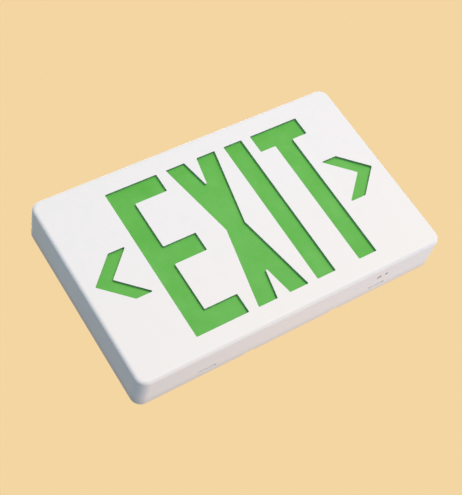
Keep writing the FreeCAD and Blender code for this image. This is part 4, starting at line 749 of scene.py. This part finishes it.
def battery_look():
    """Shrunk blue film with fine wrinkles. The cells' ends are bare steel inside the film's lip."""
    low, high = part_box("battery_pack")
    look = Look("battery_film", rough=0.20, coat=0.5, coat_rough=0.08)
    x, y, _ = look.place()
    beat = look.beat(look.past(x, (low.x + high.x) / 2), CELL_PITCH)
    from_axis = look.times(look.past(beat, 0.5), CELL_PITCH)
    radius = look.length(from_axis, look.past(y, (low.y + high.y) / 2))
    end = look.both(look.above(look.size(look.facing()[Z]), CELL_END_TILT),
                    look.below(radius, CELL_CAP_R + SLACK))
    wrinkle = look.noise(240.0, detail=5.0, rough=0.6, stretch=(1.0, 1.0, 0.35))
    film = look.tones(wrinkle, (0.020, 0.085, 0.260), (0.035, 0.125, 0.340))
    steel = look.tones(look.noise(800.0), (0.55, 0.55, 0.54), (0.74, 0.74, 0.73))
    look.colour(look.blend(end, film, steel))
    look.put("Metallic", end)
    look.bump(wrinkle, strength=0.45, depth=0.25 * MM)
    return look


def foam_look():
    """Black foam with open pores."""
    look = Look("foam_dark", rough=0.9)
    pores = look.cells(1800.0)
    look.colour(look.tones(pores, (0.020, 0.020, 0.022), (0.075, 0.075, 0.080), low=0.1))
    look.bump(pores, strength=0.8, depth=0.2 * MM)
    return look


# ---------------------------------------------------------------- which piece wears what
def dress(look, *names):
    """Gives CAD pieces a look's material."""
    for name in names:
        for slot in nodes[name].material_slots:
            slot.material = look.material


def dress_all():
    """A material for every CAD piece."""
    dress(housing_look(), "housing_shell")
    dress(panel_look(), "colour_panel")
    dress(back_plate_look(), "back_plate")
    dress(tray_look(), "component_tray")
    dress(moulded("bushing_black", (0.025, 0.025, 0.027), rough=0.40, blotch=0.2), "wire_bushing")
    dress(moulded("button_grey", (0.36, 0.30, 0.285), rough=0.40, blotch=0.06), "test_button")
    dress(resin("status_red", (0.42, 0.16, 0.14)), "status_lamp")
    dress(resin("lamp_resin", (0.62, 0.80, 0.64)), "led_lamps_top", "led_lamps_bottom")
    dress(strip_look(), "led_board_top", "led_board_bottom")
    dress(board_look("board_green", through=Y, printed=True), "main_board")
    dress(board_look("test_board_green", through=Z), "test_board")
    dress(ferrite_look(), "transformer_core")
    dress(coil_look(), "transformer_coil")
    dress(capacitor_look(), "electrolytic_capacitors")
    dress(moulded("film_yellow", (0.66, 0.46, 0.035), rough=0.35, blotch=0.08, coat=0.2),
          "suppressor_capacitor")
    dress(moulded("fuse_brown", (0.065, 0.030, 0.018), rough=0.30, blotch=0.15, coat=0.3), "fuse")
    dress(transistor_look(), "power_transistor")
    dress(diode_look(), "diodes")
    dress(resistor_look(), "resistors")
    dress(moulded("terminal_green", (0.020, 0.230, 0.085), rough=0.32, blotch=0.08, coat=0.2),
          "mains_terminal_block")
    dress(metal("plated_steel", (0.72, 0.72, 0.70)), "terminal_screws", "tray_screws", "main_board_screws",
          "strap_screws", "test_board_screws")
    dress(metal("strap_steel", (0.70, 0.70, 0.68), rough=0.36, brushed=(0.08, 1.0, 1.0)), "battery_strap")
    dress(moulded("nylon_cream", (0.74, 0.72, 0.64), rough=0.38, blotch=0.05),
          "lead_sockets", "lead_plugs", "switch_plunger", "lamp_spacer")
    dress(pair_look("lamp_pair", "led_leads", axis=X), "led_leads")
    dress(pair_look("battery_pair", "battery_lead", axis=Y), "battery_lead")
    dress(moulded("test_pair", (0.52, 0.52, 0.50), rough=0.32, blotch=0.1), "test_lead")
    dress(battery_look(), "battery_pack")
    dress(foam_look(), "battery_pad")
    dress(moulded("switch_black", (0.030, 0.030, 0.032), rough=0.35, blotch=0.15), "test_switch")


# ---------------------------------------------------------------- the switch's spring
def wire_centres(low, high):
    """Points along a coil between two corners, closer at its ends, and each one's direction from the axis."""
    middle = (low + high) / 2
    coil_r = (high.x - low.x) / 2 - SPRING_WIRE_R
    rise = high.z - low.z - 2 * SPRING_WIRE_R
    steps = SPRING_TURNS * SPRING_STEPS_PER_TURN
    centres, outwards = [], []
    for step in range(steps + 1):
        share = step / steps
        turn = math.tau * SPRING_TURNS * share
        climb = share - SPRING_END_CLOSING * math.sin(math.tau * share) / math.tau
        outward = Vector((math.cos(turn), math.sin(turn), 0.0))
        foot = Vector((middle.x, middle.y, low.z + SPRING_WIRE_R + rise * climb))
        centres.append(foot + outward * coil_r)
        outwards.append(outward)
    return centres, outwards


def wire_mesh(name, centres, outwards):
    """Round wire along a coil's points, closed at both ends."""
    last = len(centres) - 1
    points = []
    for step, (centre, outward) in enumerate(zip(centres, outwards)):
        along = (centres[min(step + 1, last)] - centres[max(step - 1, 0)]).normalized()
        upward = along.cross(outward).normalized()
        for side in range(SPRING_SIDES):
            angle = math.tau * side / SPRING_SIDES
            points.append(centre + (outward * math.cos(angle) + upward * math.sin(angle)) * SPRING_WIRE_R)
    faces = [tuple(reversed(range(SPRING_SIDES))), tuple(range(last * SPRING_SIDES, len(points)))]
    for step in range(last):
        for side in range(SPRING_SIDES):
            here = step * SPRING_SIDES + side
            beside = step * SPRING_SIDES + (side + 1) % SPRING_SIDES
            faces.append((here, beside, beside + SPRING_SIDES, here + SPRING_SIDES))
    mesh = bpy.data.meshes.new(name)
    mesh.from_pydata(points, [], faces)
    mesh.shade_smooth()
    return mesh


def return_spring():
    """The switch's spring as round wire."""
    low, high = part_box("switch_spring")
    mesh = wire_mesh("return_spring", *wire_centres(low, high))
    mesh.materials.append(metal("spring_steel", (0.66, 0.66, 0.65), rough=0.28).material)
    spring = bpy.data.objects.new("return_spring", mesh)
    bpy.context.scene.collection.objects.link(spring)
    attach(spring, "housing")
    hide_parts("switch_spring")
    press = next(joint for joint in frame["joints"] if joint["name"] == "button_press")
    keep = 1.0 - max(press["range_m"]) / (high.z - low.z)
    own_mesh(spring)


# ---------------------------------------------------------------- floor, light and camera
def floor_material():
    """Pale and matt to a camera above it, clear to one below it, and fading into the backdrop far out."""
    material = bpy.data.materials.new("floor_pale")
    graph = Graph(material, "ShaderNodeOutputMaterial")
    geometry = graph.new("ShaderNodeNewGeometry")
    reach = graph.new("ShaderNodeVectorMath")
    reach.operation = "LENGTH"
    graph.link(geometry.outputs["Position"], reach.inputs[0])
    near = graph.remap(reach.outputs["Value"], *FLOOR_FADE, 1.0, 0.0)
    rays = graph.new("ShaderNodeLightPath").outputs
    shown = graph.both(rays["Is Camera Ray"], graph.invert(geometry.outputs["Backfacing"]), near)
    pale = graph.new("ShaderNodeBsdfDiffuse")
    graph.feed(pale.inputs["Color"], FLOOR_PALE)
    graph.surface(graph.mixed(shown, graph.new("ShaderNodeBsdfTransparent"), pale))
    return material


def one_sided_floor():
    """Pale floor that shows from above only."""
    half = FLOOR_HALF
    corners = [(-half, -half, 0), (half, -half, 0), (half, half, 0), (-half, half, 0)]
    mesh = bpy.data.meshes.new("floor")
    mesh.from_pydata(corners, [], [(0, 1, 2, 3)])
    mesh.materials.append(floor_material())
    floor = bpy.data.objects.new("floor", mesh)
    floor.location.z = -FLOOR_DROP
    bpy.context.scene.collection.objects.link(floor)


def world_light():
    """Backdrop colour to camera, glossy and transmission rays, plain fill light to all others."""
    world = bpy.data.worlds.new("studio")
    bpy.context.scene.world = world
    graph = Graph(world, "ShaderNodeOutputWorld")
    fill = graph.new("ShaderNodeBackground")
    graph.feed(fill.inputs["Color"], AMBIENT)
    backdrop = graph.new("ShaderNodeBackground")
    graph.feed(backdrop.inputs["Color"], BACKDROP)
    rays = graph.new("ShaderNodeLightPath").outputs
    seen = graph.calc("MAXIMUM", rays["Is Camera Ray"], rays["Is Glossy Ray"])
    seen = graph.calc("MAXIMUM", seen, rays["Is Transmission Ray"])
    graph.surface(graph.mixed(seen, fill, backdrop))


def soft_box(name, direction, distance, size, watts, colour):
    """Square area lamp that looks at the sign from a direction."""
    lamp = bpy.data.lights.new(name, "AREA")
    lamp.shape = "SQUARE"
    lamp.size = size
    lamp.energy = watts
    lamp.color = colour
    holder = bpy.data.objects.new(name, lamp)
    towards = Vector(direction).normalized()
    holder.location = Vector(LAMPS_AIM) + towards * distance
    holder.rotation_mode = "QUATERNION"
    holder.rotation_quaternion = (-towards).to_track_quat("-Z", "Y")
    bpy.context.scene.collection.objects.link(holder)


def studio():
    """Bluish fill all round, a warm key in front, and two lamps behind: one from below and one from above."""
    world_light()
    soft_box("key_light", direction=(0.30, -1.0, -0.12), distance=3.4, size=2.2, watts=105.0,
             colour=(1.0, 0.905, 0.832))
    soft_box("under_light", direction=(0.42, 0.55, -0.82), distance=1.6, size=1.0, watts=13.7,
             colour=(1.0, 0.79, 0.71))
    soft_box("top_light", direction=(0.24, 0.50, 0.88), distance=2.6, size=2.4, watts=54.0,
             colour=(1.0, 0.95, 0.89))


def set_camera():
    """Camera at the photograph's viewing angle: low, left and in front, and rolled."""
    camera = bpy.data.cameras.new("photo_camera")
    camera.lens = CAMERA_LENS_MM
    camera.sensor_width = CAMERA_SENSOR_MM
    camera.clip_start, camera.clip_end = CAMERA_CLIP
    holder = bpy.data.objects.new("photo_camera", camera)
    ahead = Vector(CAMERA_AHEAD).normalized()
    across = Vector(CAMERA_ACROSS)
    right = (across - across.project(ahead)).normalized()
    down = ahead.cross(right)
    turn = Matrix((right, -down, -ahead)).transposed()
    holder.matrix_world = Matrix.Translation(CAMERA_PLACE) @ turn.to_4x4()
    bpy.context.scene.collection.objects.link(holder)
    bpy.context.scene.camera = holder


dress_all()
return_spring()
one_sided_floor()
studio()
set_camera()
bpy.context.scene.view_settings.view_transform = "Standard"
